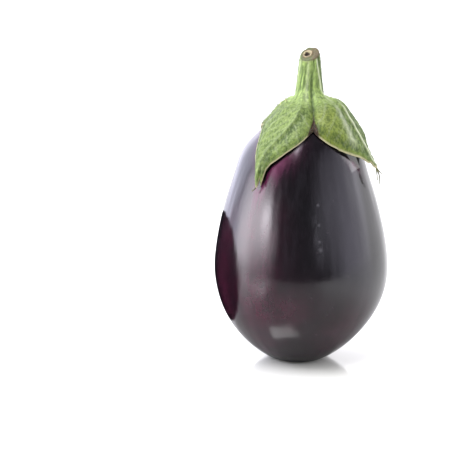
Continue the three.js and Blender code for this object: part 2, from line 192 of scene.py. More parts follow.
# A stripe runs down the stem from one azimuth at the cut to another at the foot. The pale ones are pale
# ridges, with a painted highlight on the lit left side; the dark ones are dark grooves, with painted shade on
# the right side.
Stripe = namedtuple("Stripe", "top foot width strength")
PALE_AND_LIT_STRIPES = (
    Stripe(-62, -84, 9, 0.45), Stripe(-6, -14, 8, 0.35), Stripe(43, 58, 4.2, 1.0), Stripe(104, 100, 6, 0.6),
    Stripe(150, 146, 8, 0.4), Stripe(192, 186, 6, 0.6), Stripe(236, 229, 8, 0.5),
)
DARK_AND_SHADED_STRIPES = (
    Stripe(-22, -58, 4, 0.45), Stripe(-12, -31, 3, 0.25), Stripe(12, 9, 4, 0.6), Stripe(28, 36, 11, 0.45),
    Stripe(56, 73, 9, 0.95), Stripe(82, 88, 12, 0.8), Stripe(128, 124, 6, 0.5), Stripe(171, 166, 7, 0.6),
    Stripe(212, 206, 6, 0.5), Stripe(255, 248, 7, 0.5),
)

# Small nicks in the skin, which stand up a little and are painted pale: the four down the front are a painted
# glint, the two at the back healed nicks. The middle and the radius of each.
NICKS = (
    ((10.9 * MM, -48.5 * MM, 76.9 * MM), 1.3 * MM), ((10.2 * MM, -47.7 * MM, 81.4 * MM), 1.0 * MM),
    ((9.7 * MM, -45.6 * MM, 90.9 * MM), 0.9 * MM), ((9.0 * MM, -42.4 * MM, 102 * MM), 0.8 * MM),
    ((-30 * MM, 39.5 * MM, 80 * MM), 1.4 * MM), ((34 * MM, 36.5 * MM, 71 * MM), 1.1 * MM),
)
# A pale streak painted down the front as a glint: its middle, with the height as the streak's own stretched
# space has it.
GLINT_STREAK_CENTRE = (10.5 * MM, -46.5 * MM, 17.6 * MM)
GLINT_STREAK_RADIUS = 3.6 * MM

Thread = namedtuple("Thread", "sepal length lift turn rise curl root")
THREADS = (
    Thread("left", 4 * MM, 6, -24, 10, -20, 0.55 * MM),
    Thread("right", 11 * MM, 2, -4, -16, -6, 0.7 * MM),
    Thread("right", 6.5 * MM, 10, 12, 2, 2, 0.55 * MM),
    Thread("right", 8 * MM, -5, -26, -8, 14, 0.5 * MM),
    Thread("third", 6 * MM, 12, -8, 20, 30, 0.55 * MM),
    Thread("back", 4 * MM, 8, 20, 10, 15, 0.55 * MM),
    Thread("fifth", 4 * MM, 8, -25, 10, -20, 0.5 * MM),
)
THREAD_TIP_RADIUS = 0.26 * MM
THREAD_SUNK = 2.5 * MM

Prickle = namedtuple("Prickle", "azimuth depth height")
PRICKLES = (
    Prickle(-72, 12 * MM, 2.4 * MM), Prickle(-80, 15 * MM, 2 * MM), Prickle(80, 10.5 * MM, 2 * MM),
    Prickle(130, 15 * MM, 2.2 * MM), Prickle(188, 17 * MM, 2.2 * MM), Prickle(243, 16 * MM, 2 * MM),
)
PRICKLE_RADIUS = 0.8 * MM
PRICKLE_SUNK = 1 * MM
PRICKLE_RISE = 0.5

# ---- How finely the pieces are cut ----
OUTLINE_STEP = 0.1 * MM
CURVE_STEPS = 3000
FRUIT_COLUMNS = 288
FRUIT_ROW = 1 * MM
HALF_SEPAL_COLUMNS = 42
CUT_ROWS = 26
STEM_ROWS = 44
FLARE_ROWS = 20
BLADE_ROWS = 66
LINING_ROWS = 14


def smooth(value, start, end):
    share = min(1.0, max(0.0, (value - start) / (end - start)))
    return share * share * (3 - 2 * share)


def bell(distance, width):
    return math.exp(-((distance / width) ** 2))


def lerp(start, end, share):
    return start + (end - start) * share


# ---- The skin of the fruit ----

def bezier(a, b, c, d, count):
    for step in range(count):
        t = step / count
        u = 1 - t
        yield tuple(
            u ** 3 * p + 3 * u * u * t * q + 3 * u * t * t * r + t ** 3 * s for p, q, r, s in zip(a, b, c, d)
        )


def outline_table():
    """The outline at even steps of its length from the crown: radius, height and the way out of the skin."""
    belly = (FRUIT_RADIUS, BELLY_HEIGHT)
    points = list(bezier((0, CROWN_HEIGHT), (CROWN_PULL, CROWN_HEIGHT),
                         (FRUIT_RADIUS, BELLY_HEIGHT + BELLY_PULL_UP), belly, CURVE_STEPS))
    points += list(bezier(belly, (FRUIT_RADIUS, BELLY_HEIGHT - BELLY_PULL_DOWN),
                          (REST_RADIUS + BASE_PULL, 0), (REST_RADIUS, 0), CURVE_STEPS))
    points.append((REST_RADIUS, 0))
    lengths = [0.0]
    for (r0, z0), (r1, z1) in zip(points, points[1:]):
        lengths.append(lengths[-1] + math.hypot(r1 - r0, z1 - z0))
    total, table, at = lengths[-1], [], 0
    count = round(total / OUTLINE_STEP)
    for index in range(count + 1):
        depth = total * index / count
        while at < len(lengths) - 2 and lengths[at + 1] < depth:
            at += 1
        share = (depth - lengths[at]) / (lengths[at + 1] - lengths[at])
        (r0, z0), (r1, z1) = points[at], points[at + 1]
        run = lengths[at + 1] - lengths[at]
        table.append((lerp(r0, r1, share), lerp(z0, z1, share), (z0 - z1) / run, (r1 - r0) / run))
    return total, table


OUTLINE_LENGTH, OUTLINE = outline_table()


def outline(depth):
    """Radius, height, and the outward direction (out, up) of the skin at a depth."""
    place = min(1.0, max(0.0, depth / OUTLINE_LENGTH)) * (len(OUTLINE) - 1)
    index = min(len(OUTLINE) - 2, int(place))
    low, high = OUTLINE[index], OUTLINE[index + 1]
    return tuple(lerp(a, b, place - index) for a, b in zip(low, high))


def degrees_apart(start, end):
    return (end - start + 180) % 360 - 180


def swelling(azimuth, radius, height):
    strength = SWELL_LEAST + (1 - SWELL_LEAST) * bell(height - SWELL_HEIGHT, SWELL_REACH)
    wave = sum(share * math.cos(math.radians(count * azimuth + turn)) for count, share, turn in SWELLS)
    shoulders = sum(
        shoulder.rise * bell(degrees_apart(shoulder.azimuth, azimuth), shoulder.width)
        * bell(height - shoulder.height, shoulder.reach) for shoulder in SHOULDERS
    )
    return (SWELL * strength * wave + shoulders) * min(1.0, radius / SWELL_FADE)


def axis_at(height):
    """How far the axis of the fruit is to the right at a height."""
    crown = CROWN_LEAN * smooth(height, LEAN_START, CROWN_HEIGHT)
    return crown + BASE_LEAN * (1 - smooth(height, 0, BASE_LEAN_END))


def around_fruit(azimuth, radius, height, axis_height=None):
    angle = math.radians(azimuth)
    axis = axis_at(height if axis_height is None else axis_height)
    return Vector((axis + radius * math.sin(angle), -radius * math.cos(angle), height))


def over_skin(azimuth, depth, height):
    """The point that stands off the skin by a height, at a depth below the crown."""
    radius, level, out, up = outline(depth)
    stands = radius + swelling(azimuth, radius, level)
    return around_fruit(azimuth, stands + height * out, level + height * up, level)


# ---- The calyx and the stem ----

Column = namedtuple("Column", "azimuth sepal side share notch_depth span")


def half_steps():
    """Shares of the way from a rib to its notch, closest together at the rib and, less so, at the notch."""
    steps = []
    for index in range(HALF_SEPAL_COLUMNS):
        even = index / HALF_SEPAL_COLUMNS
        steps.append(0.55 * even ** 1.7 + 0.45 * (1 - (1 - even) ** 1.25))
    return steps


def calyx_columns():
    columns = []
    for index, sepal in enumerate(SEPALS):
        following = SEPALS[(index + 1) % len(SEPALS)]
        next_notch = following.notch + (360 if index + 1 == len(SEPALS) else 0)
        for side, notch, notch_depth in (
            (-1, sepal.notch, sepal.notch_depth),
            (1, next_notch, following.notch_depth),
        ):
            steps = half_steps()
            if side < 0:
                steps = (steps + [1.0])[:0:-1]
            columns += [
                Column(lerp(sepal.rib, notch, share), sepal, side, share, notch_depth, notch - sepal.rib)
                for share in steps
            ]
    return columns


def margin_depth(column):
    """The depth of the margin: a broad blade drawn out into a point, with any forks and a fine wave."""
    sepal, share = column.sepal, column.share
    blade = (1 - SPIKE_SHARE) * (1 - share) ** sepal.hollow
    spike = SPIKE_SHARE * bell(share, SPIKE_WIDTH)
    depth = column.notch_depth + (sepal.depth - column.notch_depth) * (blade + spike)
    for at, width, reach in sepal.forks:
        depth += reach * bell(column.side * share - at, width)
    wave = noise.noise(Vector((column.azimuth * MARGIN_WAVES, sepal.rib, 0.5)))
    return depth + MARGIN_WAVE * wave * smooth(1 - share, 0, 0.2)


def rib_turn(sepal, depth):
    """The degrees by which a sepal's rib is turned to the right at a depth."""
    out = max(0.0, (depth - LIFT_START) / (sepal.depth - LIFT_START))
    return sepal.lean * (1 - smooth(depth, SHOULDER_DEPTH, RIB_LEAN_END)) + sepal.swing * out * out


def across_sepal(column, turn, radius):
    """The distances along the surface from a column to its rib, which is turned, and to its notch."""
    reach = math.radians(abs(column.span - turn)) * radius
    return column.share * reach, (1 - column.share) * reach


def across_blade(column, depth):
    return across_sepal(column, rib_turn(column.sepal, depth), outline(depth)[0])


def stand_off(column, depth, to_margin):
    """How far the underside of the blade stands off the skin."""
    sepal, share = column.sepal, column.share
    from_rib = across_blade(column, depth)[0]
    at_notch = NOTCH_LIFT * smooth(depth, LIFT_START, LIFT_START + NOTCH_LIFT_RUN)
    middle = sepal.bulge * (1 - share ** sepal.crest) - sepal.valley * bell(from_rib, VALLEY_WIDTH)
    low_margin = sepal.name == "right" and column.side < 0
    margin = sepal.flare * (1 - share) ** (FRONT_MARGIN_RISE if low_margin else MARGIN_RISE)
    across = lerp(margin, middle, smooth(to_margin, 0, FOLD_WIDTH))
    return GAP + at_notch + across * smooth(depth, BULGE_START, BULGE_FULL)


def boss_thickness(depth):
    return BOSS_THICKNESS * math.exp(-((depth / BOSS_REACH) ** 3))


def side_veins(column, depth):
    """The side veins, which leave the rib at a slant towards the point and meet short of the margin."""
    from_rib, from_notch = across_blade(column, depth)
    place = (depth - VEIN_SLANT * from_rib + VEIN_SHIFT * column.side) / VEIN_STEP
    place += 0.25 * noise.noise(Vector((from_rib * 180, depth * 90, column.sepal.rib)))
    near = abs(place - round(place)) * VEIN_STEP
    return bell(near, VEIN_WIDTH) * smooth(from_rib, 0, 2 * MM) * smooth(from_notch, 0, 3 * MM)


def band(column, bands, from_rib, to_margin):
    """How strongly a point lies in any of a sepal's bands."""
    distances = {"rib": from_rib, "margin": to_margin, "share": column.share}
    beside = [b for b in bands if b.side == column.side]
    return max([b.strength * bell(distances[b.measure] - b.at, b.width) for b in beside], default=0.0)


def relief(column, depth, to_margin, base):
    """Everything that stands up from the plain blade: rib, grooves, bands, veins and a crinkled surface."""
    sepal = column.sepal
    from_rib, from_notch = across_blade(column, depth)
    rib = RIB_HEIGHT * bell(from_rib, RIB_WIDTH)
    line = RIB_LINE_HEIGHT * sepal.line * bell(from_rib, RIB_LINE_WIDTH)
    rib += line * smooth(depth, SHOULDER_DEPTH, 20 * MM)
    rib *= smooth(to_margin, -FOLD_WIDTH / 2, FOLD_WIDTH)
    below = smooth(depth, 14 * MM, BOSS_END)
    groove = GROOVE_DEPTH * bell(from_notch, GROOVE_WIDTH) * (1 - 0.6 * below)
    pale = band(column, sepal.gleams, from_rib, to_margin)
    dark = band(column, sepal.shades, from_rib, to_margin)
    folds = PALE_FOLD * pale * below - DARK_FOLD * dark * below * smooth(to_margin, MM, 3 * MM)
    veins = VEIN_HEIGHT * side_veins(column, depth) * smooth(to_margin, MM, 4 * MM)
    crinkle = sum(height * noise.noise(base * scale) for height, scale in CRINKLES)
    return rib - groove + folds + veins + crinkle


def on_sepal(column, depth, height):
    return over_skin(column.azimuth + rib_turn(column.sepal, depth) * (1 - column.share), depth, height)


# The dry brown tips of the notches.
DRY_REACH = 8 * MM
DRY_WIDTH = 3.1  # in millimetres, as the next one
DRY_WIDTH_ABOVE = 0.35
GREEN_NOTCH = -85  # the notch that has stayed green

# What a vertex of the calyx is, for its material: how near it is to the margin, to a rib, to a groove, which
# gets painted shade, to a vein and to a dry notch, how dark it is, mostly as painted shade, how far it lies
# in a band of painted sheen, how far it belongs to the stem, whether it is on the cut, how far it is from the
# pith, and how yellow it is.
MARKS = ("rim", "rib", "groove", "vein", "dry", "shade", "gleam", "stem", "cut", "core", "warm")


def marks(**values):
    return tuple(values.get(name, 0.0) for name in MARKS)


def dryness(column, depth, to_margin):
    """The brown, torn skin in a notch and up the groove above it."""
    from_notch = across_blade(column, depth)[1]
    width = lerp(DRY_WIDTH_ABOVE, DRY_WIDTH, smooth(to_margin, DRY_REACH, 0)) * MM
    green = bell(degrees_apart(GREEN_NOTCH, column.azimuth), 20)
    return smooth(bell(from_notch, width) * bell(to_margin, DRY_REACH), 0.15, 0.5) * (1 - 0.85 * green)


def warmth(column, depth):
    """How yellow the green is: most in front, beside the notch."""
    azimuth = degrees_apart(24, column.azimuth)
    front = 0.85 * bell(azimuth, 32) * smooth(depth, 10 * MM, 22 * MM)
    return max(0.2, front, 0.55 * bell(degrees_apart(160, column.azimuth), 40))


def upper_face(column, along):
    sepal = column.sepal
    margin = margin_depth(column)
    depth = lerp(SHOULDER_DEPTH, margin, along)
    to_margin = margin - depth
    from_rib, from_notch = across_blade(column, depth)
    blade = lerp(MARGIN_THICKNESS, BLADE_THICKNESS, smooth(to_margin, 0, MARGIN_TAPER))
    blade += boss_thickness(depth)
    blade += relief(column, depth, to_margin, on_sepal(column, depth, 0))
    below = smooth(depth, SHOULDER_DEPTH, BOSS_END)
    # Painted shade: the bands turned from the light are darkened, and so are the lines beside the rib; the
    # crests carry a painted sheen.
    beside = 0.95 * sepal.line * bell(from_rib - 1.35 * MM, 0.55 * MM)
    shade = max(beside, band(column, sepal.shades, from_rib, to_margin)) * below
    return on_sepal(column, depth, stand_off(column, depth, to_margin) + blade), marks(
        rim=bell(to_margin, 0.5 * MM),
        rib=sepal.line * bell(from_rib, 0.6 * MM) * below,
        groove=bell(from_notch, 0.9 * MM) * (1 - 0.8 * smooth(depth, 15 * MM, BOSS_END)),
        vein=side_veins(column, depth) * smooth(to_margin, MM, 4 * MM),
        dry=dryness(column, depth, to_margin),
        shade=shade * smooth(to_margin, 0.8 * MM, 3 * MM),
        gleam=band(column, sepal.gleams, from_rib, to_margin) * below * smooth(to_margin, 2 * MM, 7 * MM),
        stem=1 - smooth(depth, SHOULDER_DEPTH - 3 * MM, 17 * MM),
        warm=warmth(column, depth),
    )


def margin_face(column, turn):
    """The rounded edge of the blade, at a share of the way round from its upper to its lower face."""
    margin = margin_depth(column)
    angle = math.pi * turn
    height = stand_off(column, margin, 0) + MARGIN_THICKNESS * (1 + math.cos(angle)) / 2
    height += (1 - turn) * relief(column, margin, 0, on_sepal(column, margin, 0))
    # The upper half of the edge is cream; the lower half carries painted shade.
    return on_sepal(column, margin + MARGIN_ROUND * math.sin(angle), height), marks(
        rim=1 - smooth(turn, 0.4, 0.8), shade=smooth(turn, 0.5, 0.9), dry=dryness(column, margin, 0),
        rib=0.5 * bell(across_blade(column, margin)[0], 0.6 * MM), warm=warmth(column, margin),
    )


def lower_face(column, along):
    if along >= 1:
        return around_fruit(0, 0, CROWN_HEIGHT + GAP), marks()
    margin = margin_depth(column)
    depth = margin * (1 - along)
    # The underside carries painted shade, darkest at the margin.
    return on_sepal(column, depth, stand_off(column, depth, margin - depth)), marks(
        shade=bell(margin - depth, 2 * MM), dry=dryness(column, depth, margin - depth),
    )


def cut_height(point):
    facing = math.radians(CUT_FACING)
    towards = (point.x - CROWN_LEAN) * math.sin(facing) - point.y * math.cos(facing)
    return STEM_TOP_HEIGHT - towards * math.tan(math.radians(CUT_TILT))


def front_share(column):
    """How far a column belongs to the front, where the stem flares more softly into the calyx."""
    return smooth(math.cos(math.radians(column.azimuth + 5)), 0.15, 0.7)


def stripes(column, up, table):
    """How strongly a point of the stem lies in any of the stripes."""
    azimuth = column.azimuth + STEM_TURN * column.sepal.lean * (1 - column.share)
    wander = 3 * noise.noise(Vector((up * 5, 0.3, 0.7)))
    places = [lerp(stripe.foot, stripe.top, up) + wander for stripe in table]
    return max(
        stripe.strength * bell(degrees_apart(place, azimuth), stripe.width)
        for stripe, place in zip(table, places)
    )


def stem_side(column, up):
    radius = lerp(STEM_FOOT_RADIUS, STEM_TOP_RADIUS, up)
    turn = STEM_TURN * column.sepal.lean
    from_rib, from_notch = across_sepal(column, turn, radius)
    pale, dark = stripes(column, up, PALE_AND_LIT_STRIPES), stripes(column, up, DARK_AND_SHADED_STRIPES)
    ridge = 0.5 * STEM_RIDGE * bell(from_rib, STEM_RIDGE_WIDTH) + 0.3 * MM * (pale - dark)
    groove = STEM_GROOVE * bell(from_notch, STEM_GROOVE_WIDTH)
    azimuth = column.azimuth + turn * (1 - column.share)
    angle = math.radians(azimuth)
    flutes = Vector((math.sin(angle) * 4.2, math.cos(angle) * 4.2, up * 1.4))
    fine = 0.16 * MM * noise.noise(flutes) + 0.11 * MM * noise.noise(flutes * 2.3)
    point = around_fruit(azimuth, radius + (ridge - groove) * (1 - up / 2) + fine, CROWN_HEIGHT)
    point.z = lerp(STEM_FOOT_HEIGHT, cut_height(point) - CUT_ROUND, up)
    # The stem is painted in the ribs' colour along its pale stripes and in the shade colour along its dark
    # ones: pale ridges and dark grooves, with a painted highlight on its lit left side and painted shade on
    # its right. Its grooves are darkened as painted shade.
    return point, marks(
        rib=0.8 * pale, shade=dark, groove=bell(from_notch, 0.8 * MM) * (1 - up), stem=1.0,
        dry=0.5 * smooth(up, 0.93, 1) * (0.5 + noise.noise(flutes * 1.5)),
    )


def cut_face(column, out):
    """The cut, at a share of the way out to the stem's side: hollow pith, pale ring and rough rim."""
    side = stem_side(column, 1)[0]
    point = Vector((CROWN_LEAN, 0, 0)).lerp(side, out)
    angle = math.radians(column.azimuth)
    way = Vector((math.sin(angle), -math.cos(angle), 0))
    radius = (point - Vector((CROWN_LEAN, 0, point.z)) - PITH_ASIDE * (1 - smooth(out, 0.6, 1))).length
    hollow = PITH_RADIUS * (1 + 0.35 * noise.noise(way * 1.6) + 0.2 * noise.noise(way * 4))
    rough = noise.noise(Vector((point.x, point.y, 0)) * 900)
    sunk = PITH_DEPTH * (1 - smooth(radius, 0.5 * hollow, hollow * 1.12)) * (1 + 0.4 * rough)
    sunk -= 0.28 * MM * bell(radius - 2.7 * MM, 0.6 * MM)
    sunk += 0.22 * MM * bell(radius - 3.9 * MM, 0.5 * MM) + 0.12 * MM * rough
    sunk += CUT_ROUND * smooth(out, 0.86, 1) ** 2 * (1 + 0.25 * noise.noise(way * 5))
    torn = smooth(point.x, CROWN_LEAN, CROWN_LEAN + 2.4 * MM) * smooth(radius, 2.6 * MM, 3.6 * MM)
    sunk += 0.35 * MM * torn * noise.noise(Vector((point.x * 2, point.y * 0.5, 0)) * 1300)
    point.z = cut_height(point) - sunk
    core = radius / STEM_TOP_RADIUS + 0.06 * noise.noise(way * 3)
    return point, marks(cut=1 - smooth(out, 0.93, 1), core=core, stem=1.0, dry=0.7 * torn)


def flare_face(column, down):
    foot, foot_marks = stem_side(column, FRONT_FLARE_UP * front_share(column))
    end, end_marks = upper_face(column, FRONT_FLARE_DOWN * front_share(column))
    corner = foot.lerp(end, STEM_FLARE)
    corner.z = end.z + STEM_FLARE * (foot.z - end.z)
    point = foot.lerp(corner, down).lerp(corner.lerp(end, down), down)
    return point, tuple(lerp(a, b, down) for a, b in zip(foot_marks, end_marks))


def shares(count, first=0.0, last=1.0):
    return [lerp(first, last, index / (count - 1)) for index in range(count)]


def calyx_rows():
    """The rings: the cut, down the stem, over the blades, round the margin and back to the crown."""
    def stem_row(column, up):
        return stem_side(column, lerp(FRONT_FLARE_UP * front_share(column), 1, up))

    def blade_row(column, along):
        return upper_face(column, lerp(FRONT_FLARE_DOWN * front_share(column), 1, along))

    rows = [(cut_face, out) for out in shares(CUT_ROWS)[:-1]]
    rows += [(stem_row, 1 - down) for down in shares(STEM_ROWS)]
    rows += [(flare_face, down) for down in shares(FLARE_ROWS + 2)[1:-1]]
    rows += [(blade_row, along ** 0.9) for along in shares(BLADE_ROWS)]
    rows += [(margin_face, turn) for turn in (0.25, 0.5, 0.75)]
    rows += [(lower_face, along ** 1.3) for along in shares(LINING_ROWS)]
    return rows


# ---- Meshes ----

def spun_grid(columns, rows):
    """A tube spun from a line, with a face for each column and row. A vertex's height is its row."""
    mesh = bmesh.new()
    line = [mesh.verts.new((0, -1, row)) for row in range(rows)]
    edges = [mesh.edges.new(pair) for pair in zip(line, line[1:])]
    bmesh.ops.spin(
        mesh, geom=line + edges, cent=(0, 0, 0), axis=(0, 0, 1), dvec=(0, 0, 0),
        angle=2 * math.pi, space=Matrix.Identity(4), steps=columns, use_merge=True, use_duplicate=False,
    )
    return mesh


def grid_place(vertex, columns):
    """The column and the row of a vertex of a spun grid. Columns go round from the front to the right."""
    turn = math.atan2(vertex.co.x, -vertex.co.y) / (2 * math.pi)
    return round(turn * columns) % columns, round(vertex.co.z)


def placed(name, data):
    made = bpy.data.objects.new(name, data)
    bpy.context.scene.collection.objects.link(made)
    return made


def piece_from(mesh, name, material, smooth_faces=True):
    """Turns the faces of a bmesh outwards, and makes it a piece that rides on the root body."""
    data = bpy.data.meshes.new(name)
    bmesh.ops.recalc_face_normals(mesh, faces=mesh.faces)
    for face in mesh.faces:
        face.smooth = smooth_faces
    mesh.to_mesh(data)
    mesh.free()
    data.materials.append(material)
    piece = placed(name, data)
    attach(piece, "root")
    return piece


def tube(mesh, points, radii, sides):
    """A tube through points, drawn out ring by ring, each ring with its own radius."""
    heading = (points[1] - points[0]).normalized()
    turn = Vector((0, 0, 1)).rotation_difference(heading).to_matrix().to_4x4()
    start = bmesh.ops.create_circle(
        mesh, cap_ends=True, cap_tris=False, segments=sides, radius=radii[0],
        matrix=Matrix.Translation(points[0]) @ turn,
    )["verts"]
    face = next(f for f in start[0].link_faces if all(v in start for v in f.verts))
    for index in range(1, len(points)):
        drawn = bmesh.ops.extrude_discrete_faces(mesh, faces=[face])["faces"][0]
        ahead = points[min(index + 1, len(points) - 1)] - points[index - 1]
        bend = heading.rotation_difference(ahead).to_matrix()
        heading = ahead.normalized()
        grown = radii[index] / radii[index - 1]
        for vertex in drawn.verts:
            vertex.co = points[index] + bend @ (vertex.co - points[index - 1]) * grown
        face = drawn


# ---- Nodes ----

class Graph:
    """Adds and joins the nodes of one material, group or light."""

    def __init__(self, tree):
        self.tree = tree

    def node(self, kind, inputs=None, **settings):
        made = self.tree.nodes.new("ShaderNode" + kind)
        for name, value in settings.items():
            setattr(made, name, value)
        for key, value in (inputs or {}).items():
            self.feed(made.inputs[key], value)
        return made

    def feed(self, socket, value):
        if isinstance(value, bpy.types.NodeSocket):
            self.tree.links.new(value, socket)
        else:
            socket.default_value = value

    def math(self, operation, first, second=0.0):
        return self.node("Math", {0: first, 1: second}, operation=operation).outputs[0]

    def plus(self, first, second):
        return self.math("ADD", first, second)

    def minus(self, first, second):
        return self.math("SUBTRACT", first, second)

    def times(self, first, second):
        return self.math("MULTIPLY", first, second)

    def mix(self, share, first, second, blend="MIX"):
        made = self.node("Mix", {0: share, 6: first, 7: second}, data_type="RGBA", blend_type=blend)
        return made.outputs[2]

    def span(self, value, low, high, to_low=0.0, to_high=1.0):
        made = self.node("MapRange", {0: value, 1: low, 2: high, 3: to_low, 4: to_high},
                         interpolation_type="SMOOTHSTEP")
        return made.outputs[0]

    def blob(self, across, up, centre, size):
        """A soft round spot of height 1 over two coordinates."""
        spread = 0.0
        for value, middle, reach in zip((across, up), centre, size):
            away = self.math("DIVIDE", self.minus(value, middle), reach)
            spread = self.plus(spread, self.times(away, away))
        return self.math("EXPONENT", self.times(spread, -1.0))

    def nick(self, vector, centre, radius):
        """A soft ball of height 1 about a point."""
        away = self.node("VectorMath", {0: vector, 1: centre}, operation="DISTANCE").outputs["Value"]
        away = self.math("DIVIDE", away, radius)
        return self.math("EXPONENT", self.times(self.times(away, away), -1.0))

    def mark(self, name):
        return self.node("Attribute", attribute_name=name).outputs["Fac"]

    def place(self, scale=(1, 1, 1)):
        where = self.node("TexCoord").outputs["Object"]
        return self.node("Mapping", {"Vector": where, "Scale": scale}).outputs[0]

    def noise(self, vector, scale, detail=3.0):
        inputs = {"Vector": vector, "Scale": scale, "Detail": detail, "Roughness": 0.55}
        return self.node("TexNoise", inputs).outputs[0]

    def bump(self, height, strength, distance, below=None):
        """A normal bent by a height, on top of the bump below it if there is one."""
        inputs = {"Height": height, "Strength": strength, "Distance": distance}
        if below is not None:
            inputs["Normal"] = below
        return self.node("Bump", inputs).outputs[0]

    def group(self, tree, **inputs):
        made = self.node("Group", node_tree=tree)
        for name, value in inputs.items():
            self.feed(made.inputs[name], value)
        return made.outputs[0]


def node_group(name, inputs, output, build):
    """A node group with named float or vector inputs and one value out, built once."""
    tree = bpy.data.node_groups.get(name)
    if tree is None:
        tree = bpy.data.node_groups.new(name, "ShaderNodeTree")
        for socket, kind, default in inputs:
            made = tree.interface.new_socket(socket, in_out="INPUT", socket_type="NodeSocket" + kind)
            if default is not None:
                made.default_value = default
        tree.interface.new_socket(output, in_out="OUTPUT", socket_type="NodeSocketFloat")
        graph = Graph(tree)
        given = tree.nodes.new("NodeGroupInput")
        result = tree.nodes.new("NodeGroupOutput")
        graph.feed(result.inputs[0], build(graph, given.outputs))
    return tree


def mottle_group():
    """Soft patches of two sizes, from 0 to 1."""
    def build(graph, given):
        broad = graph.noise(given["Vector"], given["Scale"], 4.0)
        fine = graph.noise(given["Vector"], graph.times(given["Scale"], 3.7), 3.0)
        both = graph.plus(graph.times(broad, 0.65), graph.times(fine, 0.35))
        return graph.span(both, given["Low"], given["High"])

    inputs = (
        ("Vector", "Vector", None), ("Scale", "Float", 100.0), ("Low", "Float", 0.4), ("High", "Float", 0.6),
    )
    return node_group("Mottle", inputs, "Mask", build)


def fleck_group():
    """Small round flecks, each with its own size, from 0 to 1."""
    def build(graph, given):
        cells = graph.node("TexVoronoi", {"Vector": given["Vector"], "Scale": given["Scale"]})
        chance = graph.node("SeparateColor", {0: cells.outputs["Color"]}).outputs[0]
        near = graph.minus(1.0, graph.span(cells.outputs["Distance"], 0.0, given["Size"]))
        return graph.times(near, graph.span(chance, given["Rarity"], 1.0))

    inputs = (
        ("Vector", "Vector", None), ("Scale", "Float", 400.0), ("Rarity", "Float", 0.5),
        ("Size", "Float", 0.4),
    )
    return node_group("Flecks", inputs, "Mask", build)


def grain_group():
    """A fine pebbled height, for a bump."""
    def build(graph, given):
        cells = graph.node("TexVoronoi", {"Vector": given["Vector"], "Scale": given["Scale"]},
                           feature="SMOOTH_F1").outputs["Distance"]
        fine = graph.noise(given["Vector"], graph.times(given["Scale"], 1.7), 4.0)
        return graph.plus(graph.times(cells, 0.5), graph.times(fine, 0.5))

    return node_group("Grain", (("Vector", "Vector", None), ("Scale", "Float", 500.0)), "Height", build)


# ---- Materials ----

DARK_PATCH = (0.006, 0.0035, 0.006)
PAINTED_HIGHLIGHT = (0.42, 0.33, 0.42)
WAX = (0.045, 0.042, 0.052)
SPECK = (0.10, 0.075, 0.09)
HEALED_AND_GLINT = (0.10, 0.098, 0.11)
CORK = (0.34, 0.24, 0.14)
DARK_CORK = (0.12, 0.065, 0.035)
NICK_HEIGHT = 0.12 * MM
SKIN_GRAIN = 0.06 * MM

DARK_FIBRE = (0.12, 0.185, 0.05)
PALE_FLECK = (0.38, 0.50, 0.20)
YELLOWING = (1.0, 0.88, 0.45)
HUSK = (0.16, 0.075, 0.032)
DARK_HUSK = (0.022, 0.011, 0.007)
CRUMB = (0.08, 0.05, 0.03)
DRY_CUT = (0.16, 0.11, 0.06)
DARK_DRY_CUT = (0.05, 0.03, 0.018)
GREEN_GRAIN = 0.12 * MM
STRAW_GRAIN = 0.05 * MM
# The colours of the cut from the pith out to the rind, each with its place as a share of the stem's radius.
CUT_RINGS = (
    (0.0, (0.05, 0.025, 0.012)), (0.14, (0.015, 0.008, 0.005)), (0.27, (0.03, 0.018, 0.01)),
    (0.32, (0.38, 0.33, 0.18)), (0.40, (0.50, 0.44, 0.28)), (0.47, (0.20, 0.12, 0.06)),
    (0.58, (0.09, 0.105, 0.04)), (0.8, (0.12, 0.155, 0.06)), (1.0, (0.045, 0.05, 0.02)),
)


def new_material(name):
    """An empty material, its graph and its shader."""
    material = bpy.data.materials.new(name)
    material.use_nodes = True
    material.node_tree.nodes.clear()
    graph = Graph(material.node_tree)
    shader = graph.node("BsdfPrincipled")
    graph.tree.links.new(shader.outputs[0], graph.node("OutputMaterial").inputs[0])
    return material, graph, shader


def colour(value):
    return (*value, 1.0)


